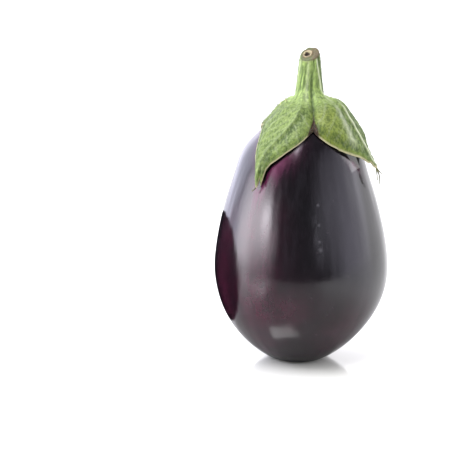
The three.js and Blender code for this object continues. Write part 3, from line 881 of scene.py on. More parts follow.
def skin_material(settings):
    """Dark waxy skin: nearly black, flushed with maroon in places, and purple where the calyx shaded it; it
    has a painted highlight below the notch and a painted glint down the front.
    """
    material, graph, shader = new_material("aubergine_skin")
    where = graph.place()
    streaks = graph.group(mottle_group(), Vector=graph.place((1, 1, 0.16)), Scale=95.0, Low=0.3, High=0.7)
    patches = graph.group(mottle_group(), Vector=where, Scale=26.0, Low=0.38, High=0.62)
    clouds = graph.group(mottle_group(), Vector=where, Scale=130.0, Low=0.36, High=0.64)
    flush = graph.times(graph.mark("flush"), graph.span(streaks, 0.0, 1.0, 0.65, 1.05))
    flush = graph.times(flush, graph.span(clouds, 0.0, 1.0, 0.7, 1.2))
    base = graph.mix(flush, colour(settings.skin_colour), colour(settings.flush_colour))
    base = graph.mix(graph.times(patches, 0.35), base, colour(DARK_PATCH))
    young = graph.times(graph.mark("young"), graph.span(streaks, 0.0, 1.0, 0.55, 1.0))
    base = graph.mix(young, base, colour(settings.young_colour))
    # A painted highlight: the pale mark lightens the skin below the notch.
    pale = graph.times(graph.mark("pale"), graph.span(streaks, 0.2, 0.8, 0.45, 1.25))
    base = graph.mix(pale, base, colour(PAINTED_HIGHLIGHT))
    wax = graph.group(mottle_group(), Vector=graph.place((1, 1, 0.07)), Scale=170.0, Low=0.46, High=0.62)
    base = graph.mix(graph.times(wax, 0.09), base, colour(WAX))
    specks = graph.group(fleck_group(), Vector=where, Scale=330.0, Rarity=0.86, Size=0.22)
    base = graph.mix(graph.times(specks, 0.35), base, colour(SPECK))
    nicks = 0.0
    # Painted glint: the nicks and the streak down the front lighten the skin to a pale grey.
    for centre, radius in NICKS:
        nicks = graph.plus(nicks, graph.nick(where, centre, radius))
    glint_streak = graph.nick(graph.place((1, 1, 0.2)), GLINT_STREAK_CENTRE, GLINT_STREAK_RADIUS)
    glint_streak = graph.times(glint_streak, graph.span(wax, 0.0, 1.0, 0.06, 0.2))
    pale = graph.math("MAXIMUM", glint_streak, graph.times(nicks, 0.5))
    base = graph.mix(pale, base, colour(HEALED_AND_GLINT))
    scar = graph.mark("scar")
    cork = graph.mix(graph.noise(where, 900.0), colour(DARK_CORK), colour(CORK))
    graph.feed(shader.inputs["Base Color"], graph.mix(scar, base, cork))
    gloss = graph.span(streaks, 0.0, 1.0, settings.roughness * 0.8, settings.roughness * 1.3)
    gloss = graph.plus(gloss, graph.times(graph.mark("young"), 0.08))
    graph.feed(shader.inputs["Roughness"], graph.plus(gloss, graph.times(scar, 0.6)))
    shader.inputs["IOR"].default_value = 1.5
    along = graph.place((1, 1, 0.12))
    lines = graph.plus(graph.noise(along, 260.0, 2.0), graph.times(graph.noise(along, 900.0), 0.3))
    streaked = graph.bump(lines, 1.0, settings.streak_height)
    healed = graph.bump(nicks, 1.0, NICK_HEIGHT, streaked)
    grain = graph.group(grain_group(), Vector=where, Scale=1100.0)
    graph.feed(shader.inputs["Normal"], graph.bump(grain, 0.6, SKIN_GRAIN, healed))
    return material


def green_material(settings):
    """The calyx and its stem: mottled green, paler ribs and veins, cream margins, dry notches and the cut,
    with painted shade and a painted sheen.
    """
    material, graph, shader = new_material("calyx_green")
    where = graph.place()
    stem = graph.mark("stem")
    patches = graph.group(mottle_group(), Vector=where, Scale=120.0, Low=0.42, High=0.58)
    pebbles = graph.group(mottle_group(), Vector=graph.place((1, 1, 0.4)), Scale=720.0, Low=0.42, High=0.58)
    tone = graph.plus(graph.times(patches, 0.25), graph.times(pebbles, 0.75))
    base = graph.mix(tone, colour(settings.dark_colour), colour(settings.blade_colour))
    fibres = graph.group(mottle_group(), Vector=graph.place((1, 1, 0.09)), Scale=620.0, Low=0.42, High=0.58)
    stalk = graph.mix(fibres, colour(DARK_FIBRE), colour(settings.stem_colour))
    base = graph.mix(stem, base, stalk)
    flecks = graph.group(fleck_group(), Vector=where, Scale=620.0, Rarity=0.35, Size=0.55)
    base = graph.mix(graph.times(flecks, 0.3), base, colour(PALE_FLECK))
    spots = graph.group(mottle_group(), Vector=where, Scale=480.0, Low=0.56, High=0.66)
    base = graph.mix(graph.times(spots, 0.32), base, colour(settings.painted_shade_and_spot_colour))
    base = graph.mix(graph.mark("warm"), base, graph.mix(1.0, base, colour(YELLOWING), "MULTIPLY"))
    # Painted shade, broken up by the pebbles.
    base = graph.mix(graph.times(graph.mark("shade"), graph.span(pebbles, 0.0, 1.0, 1.0, 0.45)), base,
                     colour(settings.painted_shade_and_spot_colour))
    # A painted sheen along the crests.
    base = graph.mix(graph.times(graph.mark("gleam"), graph.span(fibres, 0.0, 1.0, 0.45, 0.95)), base,
                     colour(settings.painted_sheen_colour))
    base = graph.mix(graph.times(graph.mark("vein"), 0.12), base, colour(settings.rib_colour))
    # Painted shade in the grooves.
    base = graph.mix(graph.times(graph.mark("groove"), 0.75), base, colour(settings.painted_shade_and_spot_colour))
    base = graph.mix(graph.times(graph.mark("rib"), 0.85), base, colour(settings.rib_colour))
    base = graph.mix(graph.times(graph.mark("rim"), 0.8), base, colour(settings.margin_colour))
    torn = graph.span(graph.noise(where, 1500.0), 0.52, 0.74)
    husk = graph.mix(torn, colour(DARK_HUSK), colour(HUSK))
    base = graph.mix(graph.mark("dry"), base, husk)
    frayed = graph.times(graph.minus(graph.noise(where, 900.0), 0.5), 0.22)
    ring = graph.node("ValToRGB", {0: graph.plus(graph.mark("core"), frayed)})
    while len(ring.color_ramp.elements) < len(CUT_RINGS):
        ring.color_ramp.elements.new(0.5)
    for element, (position, value) in zip(ring.color_ramp.elements, CUT_RINGS):
        element.position = position
        element.color = colour(value)
    crumbs = graph.span(graph.noise(where, 2600.0), 0.4, 0.62)
    cut = graph.mix(graph.times(crumbs, 0.5), ring.outputs[0], colour(CRUMB))
    cut = graph.mix(graph.mark("dry"), cut, graph.mix(crumbs, colour(DRY_CUT), colour(DARK_DRY_CUT)))
    graph.feed(shader.inputs["Base Color"], graph.mix(graph.mark("cut"), base, cut))
    graph.feed(shader.inputs["Roughness"], graph.span(pebbles, 0.0, 1.0, 0.66, 0.5))
    shader.inputs["IOR"].default_value = 1.3
    shader.inputs["Sheen Weight"].default_value = 0.04
    shader.inputs["Sheen Roughness"].default_value = 0.45
    shader.inputs["Sheen Tint"].default_value = (0.85, 0.9, 0.8, 1)
    pebbled = graph.bump(pebbles, 0.6, GREEN_GRAIN)
    grain = graph.group(grain_group(), Vector=where, Scale=1500.0)
    graph.feed(shader.inputs["Normal"], graph.bump(grain, 0.5, GREEN_GRAIN, pebbled))
    return material


def straw_material(name, dark, light, roughness):
    """Dry plant matter, mottled from dark to light."""
    material, graph, shader = new_material(name)
    where = graph.place()
    patches = graph.group(mottle_group(), Vector=where, Scale=420.0, Low=0.35, High=0.65)
    graph.feed(shader.inputs["Base Color"], graph.mix(patches, colour(dark), colour(light)))
    graph.feed(shader.inputs["Roughness"], graph.span(patches, 0.0, 1.0, roughness, roughness - 0.12))
    grain = graph.group(grain_group(), Vector=where, Scale=2500.0)
    graph.feed(shader.inputs["Normal"], graph.bump(grain, 0.4, STRAW_GRAIN))
    return material


# ---- Settings ----

def colour_property(name, description, default):
    return FloatVectorProperty(
        name=name, description=description, subtype="COLOR", min=0, max=1, default=default)


class FruitSettings(bpy.types.PropertyGroup):
    skin_colour: colour_property("Skin", "Colour of the ripe skin", (0.0042, 0.0037, 0.0053))
    flush_colour: colour_property(
        "Flush", "Colour of the skin where it is flushed with maroon",
        (0.072, 0.006, 0.027))
    young_colour: colour_property(
        "Young skin", "Colour of the skin that the calyx has shaded",
        (0.11, 0.012, 0.058))
    roughness: FloatProperty(
        name="Roughness", description="Roughness of the wax on the skin", subtype="FACTOR",
        min=0, max=1, default=0.15)
    streak_height: FloatProperty(
        name="Streaks", description="Height of the fine streaks that run down the skin", subtype="DISTANCE",
        unit="LENGTH", min=0, max=MM, default=0.05 * MM)
    flute_height: FloatProperty(
        name="Flutes", description="Height of the faint flutes that run down the skin", subtype="DISTANCE",
        unit="LENGTH", min=0, max=MM, default=0.11 * MM)


class CalyxSettings(bpy.types.PropertyGroup):
    blade_colour: colour_property("Blade", "Colour of the light patches of the sepals", (0.195, 0.278, 0.074))
    dark_colour: colour_property(
        "Dark green", "Colour of the dark patches of the sepals",
        (0.072, 0.118, 0.026))
    # Painted shade: this green darkens the grooves, the undersides near the margins and the bands turned from
    # the light, and it colours the dark spots.
    painted_shade_and_spot_colour: colour_property(
        "Shade", "Colour of the darkest green, in the grooves and the dark bands",
        (0.030, 0.058, 0.016))
    # A painted sheen: the whitish colour of the crests.
    painted_sheen_colour: colour_property("Gleam", "Colour of the whitish bands along the crests", (0.50, 0.53, 0.42))
    stem_colour: colour_property("Stem", "Colour of the light fibres of the stem", (0.34, 0.47, 0.135))
    rib_colour: colour_property("Ribs", "Colour of the ribs and the side veins", (0.70, 0.73, 0.55))
    margin_colour: colour_property("Margins", "Colour of the margins of the sepals", (0.55, 0.48, 0.31))
    hairs: IntProperty(
        name="Hairs", description="How many hairs the down on the calyx and stem has",
        min=0, max=9000, default=5200)
    hair_length: FloatProperty(
        name="Hair length", description="Length of the longest hairs", subtype="DISTANCE", unit="LENGTH",
        min=0, max=5 * MM, default=1.5 * MM)


class StageSettings(bpy.types.PropertyGroup):
    floor_colour: colour_property("Floor", "Colour of the floor", (0.93, 0.93, 0.91))
    key: FloatProperty(
        name="Key light", description="Radiance of the soft boxes on matt surfaces",
        min=0, max=100, default=3.9)
    lens: FloatProperty(
        name="Lens", description="Focal length of the camera, in millimetres",
        min=10, max=400, default=144.48)


# ---- Operators ----

class EGGPLANT_OT_fruit(bpy.types.Operator):
    """Makes the fruit, with its faint flutes, a few dents and the blossom scar underneath"""
    bl_idname = "eggplant.fruit"
    bl_label = "Fruit"

    # azimuth, depth, radius and deepness of each dent
    DENTS = (
        (14, 96 * MM, 4.5 * MM, 0.16 * MM), (-36, 128 * MM, 6 * MM, 0.12 * MM),
        (92, 88 * MM, 7 * MM, 0.2 * MM), (151, 120 * MM, 5 * MM, 0.2 * MM),
        (203, 82 * MM, 8 * MM, 0.22 * MM), (262, 109 * MM, 5 * MM, 0.18 * MM),
    )
    # the scar's outline from its middle, as shares of its radius and its depth
    SCAR = (
        (0, 1), (0.2, 0.96), (0.4, 0.86), (0.55, 0.8), (0.7, 0.62), (0.85, 0.42), (1, 0.2),
        (1.12, 0.06), (1.25, 0),
    )
    # azimuth, width in degrees, reach below the margin and strength of each patch of young skin
    YOUNG = (
        (-27, 18, 12 * MM, 1.15), (-62, 14, 7 * MM, 0.55), (56, 9, 6 * MM, 0.6), (100, 12, 6 * MM, 0.7),
        (158, 20, 9 * MM, 0.8), (212, 14, 7 * MM, 0.7), (262, 16, 8 * MM, 0.8),
    )
    # azimuth, width in degrees, height, reach up and down, and strength of each flush of maroon
    FLUSHES = (
        (-32, 17, 52 * MM, 46 * MM, 0.8), (-62, 13, 60 * MM, 38 * MM, 0.5), (-22, 34, 38 * MM, 16 * MM, 0.6),
        (36, 26, 24 * MM, 18 * MM, 0.6), (150, 34, 70 * MM, 55 * MM, 0.7), (235, 26, 50 * MM, 50 * MM, 0.9),
    )
    HIGHLIGHT_AZIMUTH = -7  # where a highlight is painted below the notch, and its width in degrees
    HIGHLIGHT_WIDTH = 3.2

    def sunk(self, azimuth, depth, radius):
        """How far the flutes and the dents take the skin in."""
        settings = bpy.context.scene.eggplant_fruit
        angle = math.radians(azimuth)
        way = Vector((math.sin(angle), math.cos(angle), 0)) * min(1.0, radius / (20 * MM))
        flutes = noise.noise(way * 6.5 + Vector((0, 0, depth * 14)))
        flutes += 0.35 * noise.noise(way * 17 + Vector((0, 0, depth * 26)))
        sunk = settings.flute_height * flutes
        for at, down, width, deep in self.DENTS:
            across = math.radians(degrees_apart(at, azimuth)) * radius
            sunk += deep * bell(math.hypot(across, (depth - down) * 0.6), width)
        return sunk * min(1.0, radius / (24 * MM))

    def margins(self):
        """The depth of the calyx's margin over each column of the fruit."""
        ring = []
        for column in calyx_columns():
            depth = margin_depth(column)
            ring.append((column.azimuth + rib_turn(column.sepal, depth) * (1 - column.share), depth))
        margins = []
        for column in range(FRUIT_COLUMNS):
            azimuth = 360 * column / FRUIT_COLUMNS
            nearest = min(ring, key=lambda place: abs(degrees_apart(azimuth, place[0])))
            margins.append(nearest[1])
        return margins

    def execute(self, context):
        settings = context.scene.eggplant_fruit
        margins = self.margins()
        rows = len(self.SCAR) + 1 + round(OUTLINE_LENGTH / FRUIT_ROW)
        last = rows - 1 - len(self.SCAR)
        mesh = spun_grid(FRUIT_COLUMNS, rows)
        layers = [mesh.verts.layers.float.new(name) for name in ("young", "pale", "flush", "scar")]
        for vertex in mesh.verts:
            column, row = grid_place(vertex, FRUIT_COLUMNS)
            azimuth = 360 * column / FRUIT_COLUMNS
            if row < len(self.SCAR):
                out, deep = self.SCAR[row]
                radius = SCAR_RADIUS * out
                angle = math.radians(azimuth)
                way = Vector((math.sin(angle), math.cos(angle), 0))
                crumbs = 0.16 * MM * noise.noise(way * out * 3.5) + 0.1 * MM * noise.noise(way * out * 8)
                vertex.co = around_fruit(azimuth, radius, max(0.0, SCAR_DEPTH * deep + crumbs * deep))
                vertex[layers[3]] = 1 - smooth(out, 0.75 + 0.2 * noise.noise(way * 4), 1.2)
                continue
            depth = OUTLINE_LENGTH * (1 - (row - len(self.SCAR)) / last)
            radius = outline(depth)[0]
            vertex.co = over_skin(azimuth, depth, -self.sunk(azimuth, depth, radius))
            below = depth - margins[column]
            ragged = 1 + 0.5 * noise.noise(Vector((azimuth * 0.35, depth * 25, 0.3)))
            # Young skin starts a little below the margin, so the skin right under its edge stays dark, a
            # painted shadow.
            vertex[layers[0]] = smooth(below, 0.6 * MM, 3.2 * MM) * max(
                [0.4 * bell(max(0.0, below), 1.2 * MM * ragged)]
                + [strength * bell(degrees_apart(at, azimuth), width) * bell(max(0.0, below), reach * ragged)
                   for at, width, reach, strength in self.YOUNG]
            )
            # A painted highlight: a pale streak just below the front notch.
            pale = 0.6 * bell(degrees_apart(self.HIGHLIGHT_AZIMUTH, azimuth), self.HIGHLIGHT_WIDTH)
            vertex[layers[1]] = pale * bell(max(0.0, below - 0.6 * MM), 4 * MM) * ragged
            flush = 0.004 + 0.17 * bell(vertex.co.z - 22 * MM, 20 * MM)
            for at, width, height, reach, strength in self.FLUSHES:
                near = bell(degrees_apart(at, azimuth), width) * bell(vertex.co.z - height, reach)
                flush = max(flush, strength * near)
            vertex[layers[2]] = flush * (0.8 + 0.4 * noise.noise(vertex.co * 25))
        bmesh.ops.remove_doubles(mesh, verts=mesh.verts, dist=1e-7)
        piece = piece_from(mesh, "fruit_skin", skin_material(settings))
        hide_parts("fruit")
        return {"FINISHED"}


class EGGPLANT_OT_calyx(bpy.types.Operator):
    """Makes the calyx and the cut stem as one closed piece, ring by ring"""
    bl_idname = "eggplant.calyx"
    bl_label = "Calyx and stem"

    def execute(self, context):
        columns, rows = calyx_columns(), calyx_rows()
        mesh = spun_grid(len(columns), len(rows))
        layers = [mesh.verts.layers.float.new(name) for name in MARKS]
        for vertex in mesh.verts:
            column, row = grid_place(vertex, len(columns))
            shape, share = rows[row]
            vertex.co, values = shape(columns[column], share)
            for layer, value in zip(layers, values):
                vertex[layer] = value
        bmesh.ops.remove_doubles(mesh, verts=mesh.verts, dist=1e-7)
        material = green_material(context.scene.eggplant_calyx)
        piece = piece_from(mesh, "green_calyx", material)
        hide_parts("calyx_and_stem")
        return {"FINISHED"}


class EGGPLANT_OT_threads(bpy.types.Operator):
    """Makes the dry threads that the sepals' points end in"""
    bl_idname = "eggplant.threads"
    bl_label = "Threads"

    RINGS = 18

    def curve(self, thread):
        """The thread's way: it starts inside its sepal's point and curls off the skin."""
        sepal = next(s for s in SEPALS if s.name == thread.sepal)
        rib = Column(sepal.rib, sepal, 1, 0.0, sepal.notch_depth, 1)
        middle = stand_off(rib, sepal.depth, 0) + MARGIN_THICKNESS / 2
        inside, point, root = (
            on_sepal(rib, sepal.depth - back, middle) for back in (THREAD_SUNK, THREAD_SUNK / 4, 0)
        )
        outward = (on_sepal(rib, sepal.depth, middle + MM) - root).normalized()
        downward = (on_sepal(rib, sepal.depth + MM, middle) - root).normalized()
        right = outward.cross(downward)

        def heading(off, aside):
            off, aside = math.radians(off), math.radians(aside)
            along = downward * math.cos(aside) + right * math.sin(aside)
            return along * math.cos(off) + outward * math.sin(off)

        half = point + heading(thread.lift, thread.turn) * thread.length / 2
        end = half + heading(thread.lift + thread.rise, thread.turn + thread.curl) * thread.length / 2
        knots = [inside * 2 - point, inside, point, half, end, end * 2 - half]
        points = []
        for index in range(self.RINGS):
            place = 3 * index / (self.RINGS - 1)
            knot = min(2, int(place))
            t = place - knot
            a, b, c, d = knots[knot:knot + 4]
            points.append(0.5 * (
                2 * b + (c - a) * t + (2 * a - 5 * b + 4 * c - d) * t ** 2
                + (3 * b - a - 3 * c + d) * t ** 3
            ))
        return points

    def execute(self, context):
        mesh = bmesh.new()
        for thread in THREADS:
            radii = [lerp(thread.root, THREAD_TIP_RADIUS, share ** 0.7) for share in shares(self.RINGS)]
            tube(mesh, self.curve(thread), radii, 8)
        material = straw_material("dry_thread", (0.045, 0.05, 0.018), (0.17, 0.17, 0.06), 0.75)
        piece = piece_from(mesh, "sepal_threads", material)
        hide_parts("calyx_and_stem")
        return {"FINISHED"}


class EGGPLANT_OT_prickles(bpy.types.Operator):
    """Makes the small prickles on the ribs and the boss of the calyx"""
    bl_idname = "eggplant.prickles"
    bl_label = "Prickles"

    RINGS = 7

    def execute(self, context):
        mesh = bmesh.new()
        for prickle in PRICKLES:
            height = GAP + BLADE_THICKNESS + boss_thickness(prickle.depth) - PRICKLE_SUNK
            foot = over_skin(prickle.azimuth, prickle.depth, height)
            on_skin, above = (over_skin(prickle.azimuth, prickle.depth, rise) for rise in (0, MM))
            heading = (above - on_skin).normalized()
            heading.z += PRICKLE_RISE
            heading.normalize()
            length = prickle.height + PRICKLE_SUNK
            hook = Vector((0, 0, 0.25 * length))
            points = [foot + heading * length * s + hook * s * s for s in shares(self.RINGS)]
            radii = [lerp(PRICKLE_RADIUS * 0.85, 0.06 * MM, s ** 0.65) for s in shares(self.RINGS)]
            tube(mesh, points, radii, 10)
        material = straw_material("prickle_straw", (0.30, 0.30, 0.11), (0.55, 0.52, 0.26), 0.55)
        piece = piece_from(mesh, "calyx_prickles", material)
        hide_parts("calyx_and_stem")
        return {"FINISHED"}


class EGGPLANT_OT_down(bpy.types.Operator):
    """Scatters short pale hairs over the calyx and the stem, closest near the margins"""
    bl_idname = "eggplant.down"
    bl_label = "Down"

    SEED = 7
    STEM_SHARE = 0.3  # the share of the hairs that stand on the stem
    RIM_SHARE = 0.62  # up to this share, the others stand near the margins
    LEAN = 0.6
    SHORTEST = 0.35
    ROOT_RADIUS = 0.07 * MM
    TIP_RADIUS = 0.015 * MM
    SUNK = 0.12 * MM

    def execute(self, context):
        settings = context.scene.eggplant_calyx
        columns = calyx_columns()
        draw = random.Random(self.SEED)
        mesh = bmesh.new()
        for _ in range(settings.hairs):
            index = draw.randrange(len(columns))
            column, beside = columns[index], columns[(index + 1) % len(columns)]
            kind = draw.random()
            along = draw.random()
            if kind < self.STEM_SHARE:
                shape, share, step = stem_side, along * 0.96, 0.01
            elif kind < self.RIM_SHARE:
                shape, share, step = upper_face, 1 - along ** 2 * 0.3, -0.01
            else:
                shape, share, step = upper_face, along * 0.98, 0.01
            root = shape(column, share)[0]
            across = shape(beside, share)[0] - root
            down = shape(column, share + step)[0] - root
            outward = across.cross(down).normalized()
            if outward.dot(root - Vector((CROWN_LEAN, 0, 0.75 * CROWN_HEIGHT))) < 0:
                outward.negate()
            lean = Vector((draw.uniform(-1, 1), draw.uniform(-1, 1), draw.uniform(-1, 1))) * self.LEAN
            heading = (outward + lean).normalized()
            length = settings.hair_length * draw.uniform(self.SHORTEST, 1)
            turn = Vector((0, 0, 1)).rotation_difference(heading).to_matrix().to_4x4()
            middle = root + heading * (length / 2 - self.SUNK)
            bmesh.ops.create_cone(
                mesh, cap_ends=True, cap_tris=True, segments=3, radius1=self.ROOT_RADIUS,
                radius2=self.TIP_RADIUS, depth=length, matrix=Matrix.Translation(middle) @ turn,
            )
        material = straw_material("grey_down", (0.035, 0.045, 0.02), (0.28, 0.31, 0.19), 0.8)
        piece_from(mesh, "calyx_down", material, smooth_faces=False)
        return {"FINISHED"}


# ---- The stage ----

# A soft oval glow on a card, or a shadow if its strength is below nought. Its middle and size are shares of
# the card.
Glow = namedtuple("Glow", "strength middle size")
# A soft edge of a card's light, from where it is dark to where it is bright, as shares of the card's width.
# Above its bend, which is a share of the card's height, it leans over by its slant.
Edge = namedtuple("Edge", "dark bright bend slant")

LEFT_EVEN = 1.21
LEFT_GLOWS = (
    Glow(11.26, (0.672, 0.489), (0.072, 0.073)),
    Glow(16.25, (0.282, 0.386), (0.287, 0.227)),
    Glow(4.47, (0.729, 0.386), (0.122, 0.088)),
)
LEFT_EDGE = Edge(dark=1.102, bright=0.672, bend=0.43, slant=1.063)
LEFT_FAR_EDGE = (0.38, 0.542)

RIGHT_EVEN = -6.85
RIGHT_GLOWS = (
    Glow(13.01, (0.434, 3.409), (0.934, 5.263)),
    Glow(3.53, (0.784, 0.760), (0.055, 0.278)),
    Glow(-1.45, (0.247, 0.115), (0.190, 0.840)),
)
RIGHT_EDGE = Edge(dark=-0.185, bright=0.061, bend=0.045, slant=-0.346)
RIGHT_TOP = (1.271, -0.045)

# The soft edges of the top card's light, each from dark to bright.
TOP_LOW, TOP_HIGH = (0.12, 0.3), (1.0, 0.85)
TOP_NEAR, TOP_FAR = (0.0, 0.14), (0.76, 0.60)


def glows(graph, across, up, even, table):
    total = even
    for glow in table:
        total = graph.plus(total, graph.times(graph.blob(across, up, glow.middle, glow.size), glow.strength))
    return total


def soft_edge(graph, across, up, edge):
    over = graph.math("MAXIMUM", graph.minus(up, edge.bend), 0.0)
    return graph.span(graph.plus(across, graph.times(over, edge.slant)), edge.dark, edge.bright)


def left_light(graph, across, up):
    glow = glows(graph, across, up, LEFT_EVEN, LEFT_GLOWS)
    edges = graph.times(soft_edge(graph, across, up, LEFT_EDGE), graph.span(across, *LEFT_FAR_EDGE))
    return graph.times(glow, edges)


def right_light(graph, across, up):
    glow = glows(graph, across, up, RIGHT_EVEN, RIGHT_GLOWS)
    edges = graph.times(soft_edge(graph, across, up, RIGHT_EDGE), graph.span(up, *RIGHT_TOP))
    return graph.times(graph.math("MAXIMUM", glow, 0.0), edges)


def top_light(graph, across, up):
    edges = graph.times(graph.span(up, *TOP_LOW), graph.span(up, *TOP_HIGH))
    sides = graph.times(graph.span(across, *TOP_NEAR), graph.span(across, *TOP_FAR))
    return graph.times(edges, sides)


# A soft box stands at an azimuth, an elevation and a distance from the fruit, unless its place is given. Its
# light is a function of its graph and its own coordinates that gives the share of its radiance.
SoftBox = namedtuple(
    "SoftBox", "name azimuth elevation distance size radiance light tint place",
    defaults=(None, (1, 1, 1), None),
)
CARDS = (
    SoftBox("card_left", -85, 18, 0.85, (2.40, 1.15), 1.04, left_light, (1.0, 0.96, 1.03)),
    SoftBox("card_right", 66, 18, 0.80, (1.90, 0.86), 1.2, right_light, (0.86, 0.833, 1.0)),
    SoftBox("card_top", -37, 68, 0.80, (0.70, 0.46), 29.0, top_light),
)
# The radiance of a key light is a share of the setting.
KEYS = (
    SoftBox("key_left", -66, 30, 1.60, (1.90, 1.10), 1.04),
    SoftBox("key_top", -30, 70, 1.60, (1.20, 1.20), 1.45),
    SoftBox("fill_right", 70, 20, 1.80, (2.4, 1.2), 0.50),
)
# A small card in the gap under the right sepal.
GAP_CARD = SoftBox(
    "card_gap", 103, 20, 1.0, (9 * MM, 17 * MM), 2.6, place=Vector((31.5 * MM, -20.8 * MM, 127.5 * MM))
)

FLOOR_HALF = 1.6
FLOOR_FRONT = 0.34  # how far the floor reaches to the front of the fruit
FLOOR_DROP = 0.05 * MM
DARK_CARD_PLACE = Vector((-66.8 * MM, 9.5 * MM, 45 * MM))
DARK_CARD_RADII = (2.7 * MM, 55 * MM, 44 * MM)
DARK_CARD_TURN = -0.5
DARK_CLOTH = ((0.004, 0.003, 0.004), (0.010, 0.007, 0.009))


class EGGPLANT_OT_stage(bpy.types.Operator):
    """Makes the floor, the backdrop, the lights, the dark card and the camera"""
    bl_idname = "eggplant.stage"
    bl_label = "Stage"

    CAMERA_EYE = Vector((0, -1.07596, 0.31870))
    CAMERA_AIM = Vector((-0.043153, 0, 0.077899))
    SENSOR = 36
    TARGET = Vector((0, 0, 0.08))

    def direction(self, azimuth, elevation):
        azimuth, elevation = math.radians(azimuth), math.radians(elevation)
        return Vector((math.sin(azimuth) * math.cos(elevation), -math.cos(azimuth) * math.cos(elevation),
                       math.sin(elevation)))

    def soft_box(self, made, radiance, glossy):
        """An area light that faces the fruit and lights either glossy or matt surfaces."""
        light = bpy.data.lights.new(made.name, "AREA")
        light.shape = "RECTANGLE"
        light.color = made.tint
        light.size, light.size_y = made.size
        light.energy = radiance * math.pi * made.size[0] * made.size[1]
        if made.light:
            light.use_nodes = True
            light.node_tree.nodes.clear()
            graph = Graph(light.node_tree)
            place = graph.node("SeparateXYZ", {0: graph.node("NewGeometry").outputs["Parametric"]})
            glow = graph.node("Emission", {"Strength": made.light(graph, place.outputs[0], place.outputs[1])})
            graph.tree.links.new(glow.outputs[0], graph.node("OutputLight").inputs[0])
        box = placed(made.name, light)
        way = self.direction(made.azimuth, made.elevation)
        box.location = self.TARGET + way * made.distance if made.place is None else made.place
        box.rotation_euler = way.to_track_quat("Z", "Y").to_euler()
        box.visible_camera = False
        box.visible_glossy = glossy
        box.visible_diffuse = not glossy

    def staged(self, mesh, name, material):
        """Puts a mesh on the stage, where it isn't part of the eggplant."""
        data = bpy.data.meshes.new(name)
        mesh.to_mesh(data)
        mesh.free()
        data.materials.append(material)
        made = placed(name, data)
        return made

    def floor(self, settings):
        mesh = bmesh.new()
        bmesh.ops.create_grid(mesh, x_segments=12, y_segments=12, size=FLOOR_HALF,
                              matrix=Matrix.Translation((0, FLOOR_HALF - FLOOR_FRONT, -FLOOR_DROP)))
        material, graph, shader = new_material("floor_white")
        faint = graph.noise(graph.place(), 3.0)
        tone = graph.span(faint, 0.3, 0.7, 0.97, 1.0)
        base = graph.mix(tone, (0, 0, 0, 1), colour(settings.floor_colour))
        # Painted shade: glossy rays see the floor darker towards the left, so the fruit mirrors a darker
        # floor there.
        mirrored = graph.node("LightPath").outputs["Is Glossy Ray"]
        aside = graph.node("SeparateXYZ", {0: graph.place()}).outputs[0]
        darker = graph.times(mirrored, graph.span(aside, 0.02, 0.16, 0.46, 0.0))
        graph.feed(shader.inputs["Base Color"], graph.mix(darker, base, (0, 0, 0, 1)))
        shader.inputs["Roughness"].default_value = 0.07
        shader.inputs["Specular IOR Level"].default_value = 0.95
        self.staged(mesh, "floor", material)

    def world(self):
        """What the fruit mirrors: a white backdrop behind and a dark room in front. The camera sees white."""
        world = bpy.data.worlds.new("studio")
        bpy.context.scene.world = world
        world.use_nodes = True
        world.node_tree.nodes.clear()
        graph = Graph(world.node_tree)
        way = graph.node("SeparateXYZ", {0: graph.node("TexCoord").outputs["Generated"]})
        behind = graph.span(way.outputs[1], -0.25, 0.25)
        left = graph.span(way.outputs[0], 0.1, -0.7)
        above = graph.span(way.outputs[2], 0.35, 0.8)
        glow = graph.plus(graph.times(behind, 2.0), 0.16)
        glow = graph.plus(glow, graph.times(graph.times(behind, left), 1.4))
        glow = graph.times(glow, graph.span(above, 0.0, 1.0, 1.0, 0.5))
        seam = graph.plus(way.outputs[1], graph.times(way.outputs[2], 0.83))
        seam = graph.times(graph.blob(seam, 0.0, (0.49, 0.0), (0.06, 1.0)), left)
        glow = graph.times(glow, graph.minus(1.0, graph.times(seam, 0.5)))
        seen = graph.node("LightPath").outputs["Is Camera Ray"]
        tint = graph.mix(graph.times(left, behind), (0.98, 0.97, 1.0, 1), (0.93, 0.93, 1.13, 1))
        room = graph.node("Background", {"Color": tint, "Strength": glow})
        white = graph.node("Background", {"Color": (1, 1, 1, 1), "Strength": 1.0})
        both = graph.node("MixShader", {0: seen, 1: room.outputs[0], 2: white.outputs[0]})
        graph.tree.links.new(both.outputs[0], graph.node("OutputWorld").inputs[0])

    def dark_card(self):
        """A low dark oval on the left, which darkens what that flank mirrors. Only glossy surfaces see it."""
        mesh = bmesh.new()
        size = Matrix.Diagonal((*DARK_CARD_RADII, 1))
        shape = Matrix.Translation(DARK_CARD_PLACE) @ Matrix.Rotation(DARK_CARD_TURN, 4, "Z") @ size
        bmesh.ops.create_icosphere(mesh, subdivisions=5, radius=1, matrix=shape)
        for face in mesh.faces:
            face.smooth = True
        material, graph, shader = new_material("dark_cloth")
        tone = graph.noise(graph.place(), 40.0)
        graph.feed(shader.inputs["Base Color"], graph.mix(tone, *map(colour, DARK_CLOTH)))
        shader.inputs["Roughness"].default_value = 0.9
        shader.inputs["Specular IOR Level"].default_value = 0.0
        card = self.staged(mesh, "dark_card", material)
        card.visible_camera = False
        card.visible_diffuse = False
        card.visible_shadow = False
        card.visible_transmission = False

    def camera(self, settings):
        lens = bpy.data.cameras.new("camera")
        lens.lens = settings.lens
        lens.sensor_width = self.SENSOR
        camera = placed("camera", lens)
        camera.location = self.CAMERA_EYE
        camera.rotation_euler = (self.CAMERA_AIM - self.CAMERA_EYE).to_track_quat("-Z", "Y").to_euler()
        bpy.context.scene.camera = camera

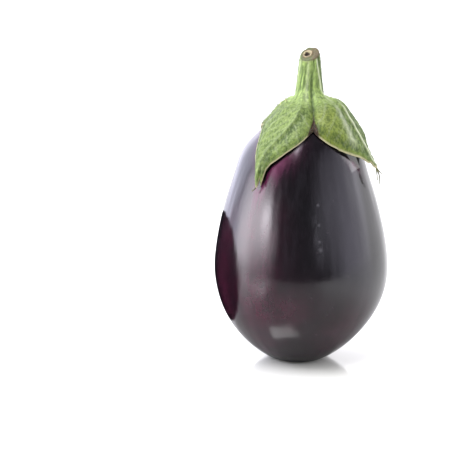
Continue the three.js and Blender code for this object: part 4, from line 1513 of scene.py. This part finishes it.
    def execute(self, context):
        settings = context.scene.eggplant_stage
        context.scene.view_settings.view_transform = "Standard"
        self.floor(settings)
        self.dark_card()
        self.world()
        for card in CARDS:
            self.soft_box(card, card.radiance, glossy=True)
        for key in KEYS:
            self.soft_box(key, key.radiance * settings.key, glossy=False)
        self.soft_box(GAP_CARD, GAP_CARD.radiance, glossy=True)
        self.camera(settings)
        return {"FINISHED"}


class EGGPLANT_PT_panel(bpy.types.Panel):
    """The eggplant's sizes, colours and pieces"""
    bl_idname = "EGGPLANT_PT_panel"
    bl_label = "Eggplant"
    bl_space_type = "VIEW_3D"
    bl_region_type = "UI"
    bl_category = "Eggplant"

    def draw(self, context):
        for heading, settings, operators in SECTIONS:
            box = self.layout.box()
            box.label(text=heading)
            group = getattr(context.scene, settings)
            for name in type(group).__annotations__:
                box.prop(group, name)
            for operator in operators:
                box.operator(operator.bl_idname)


SECTIONS = (
    ("Fruit", "eggplant_fruit", (EGGPLANT_OT_fruit,)),
    ("Calyx and stem", "eggplant_calyx",
     (EGGPLANT_OT_calyx, EGGPLANT_OT_threads, EGGPLANT_OT_prickles, EGGPLANT_OT_down)),
    ("Stage", "eggplant_stage", (EGGPLANT_OT_stage,)),
)
SETTINGS = {
    "eggplant_fruit": FruitSettings,
    "eggplant_calyx": CalyxSettings,
    "eggplant_stage": StageSettings,
}
OPERATORS = [operator for section in SECTIONS for operator in section[2]]
CLASSES = (*SETTINGS.values(), *OPERATORS, EGGPLANT_PT_panel)


def register():
    for made in CLASSES:
        bpy.utils.register_class(made)
    for name, settings in SETTINGS.items():
        setattr(bpy.types.Scene, name, PointerProperty(type=settings))


def unregister():
    for name in SETTINGS:
        delattr(bpy.types.Scene, name)
    for made in reversed(CLASSES):
        bpy.utils.unregister_class(made)


def main():
    register()
    bpy.ops.eggplant.fruit()
    bpy.ops.eggplant.calyx()
    bpy.ops.eggplant.threads()
    bpy.ops.eggplant.prickles()
    bpy.ops.eggplant.down()
    bpy.ops.eggplant.stage()


if __name__ == "__main__":
    main()
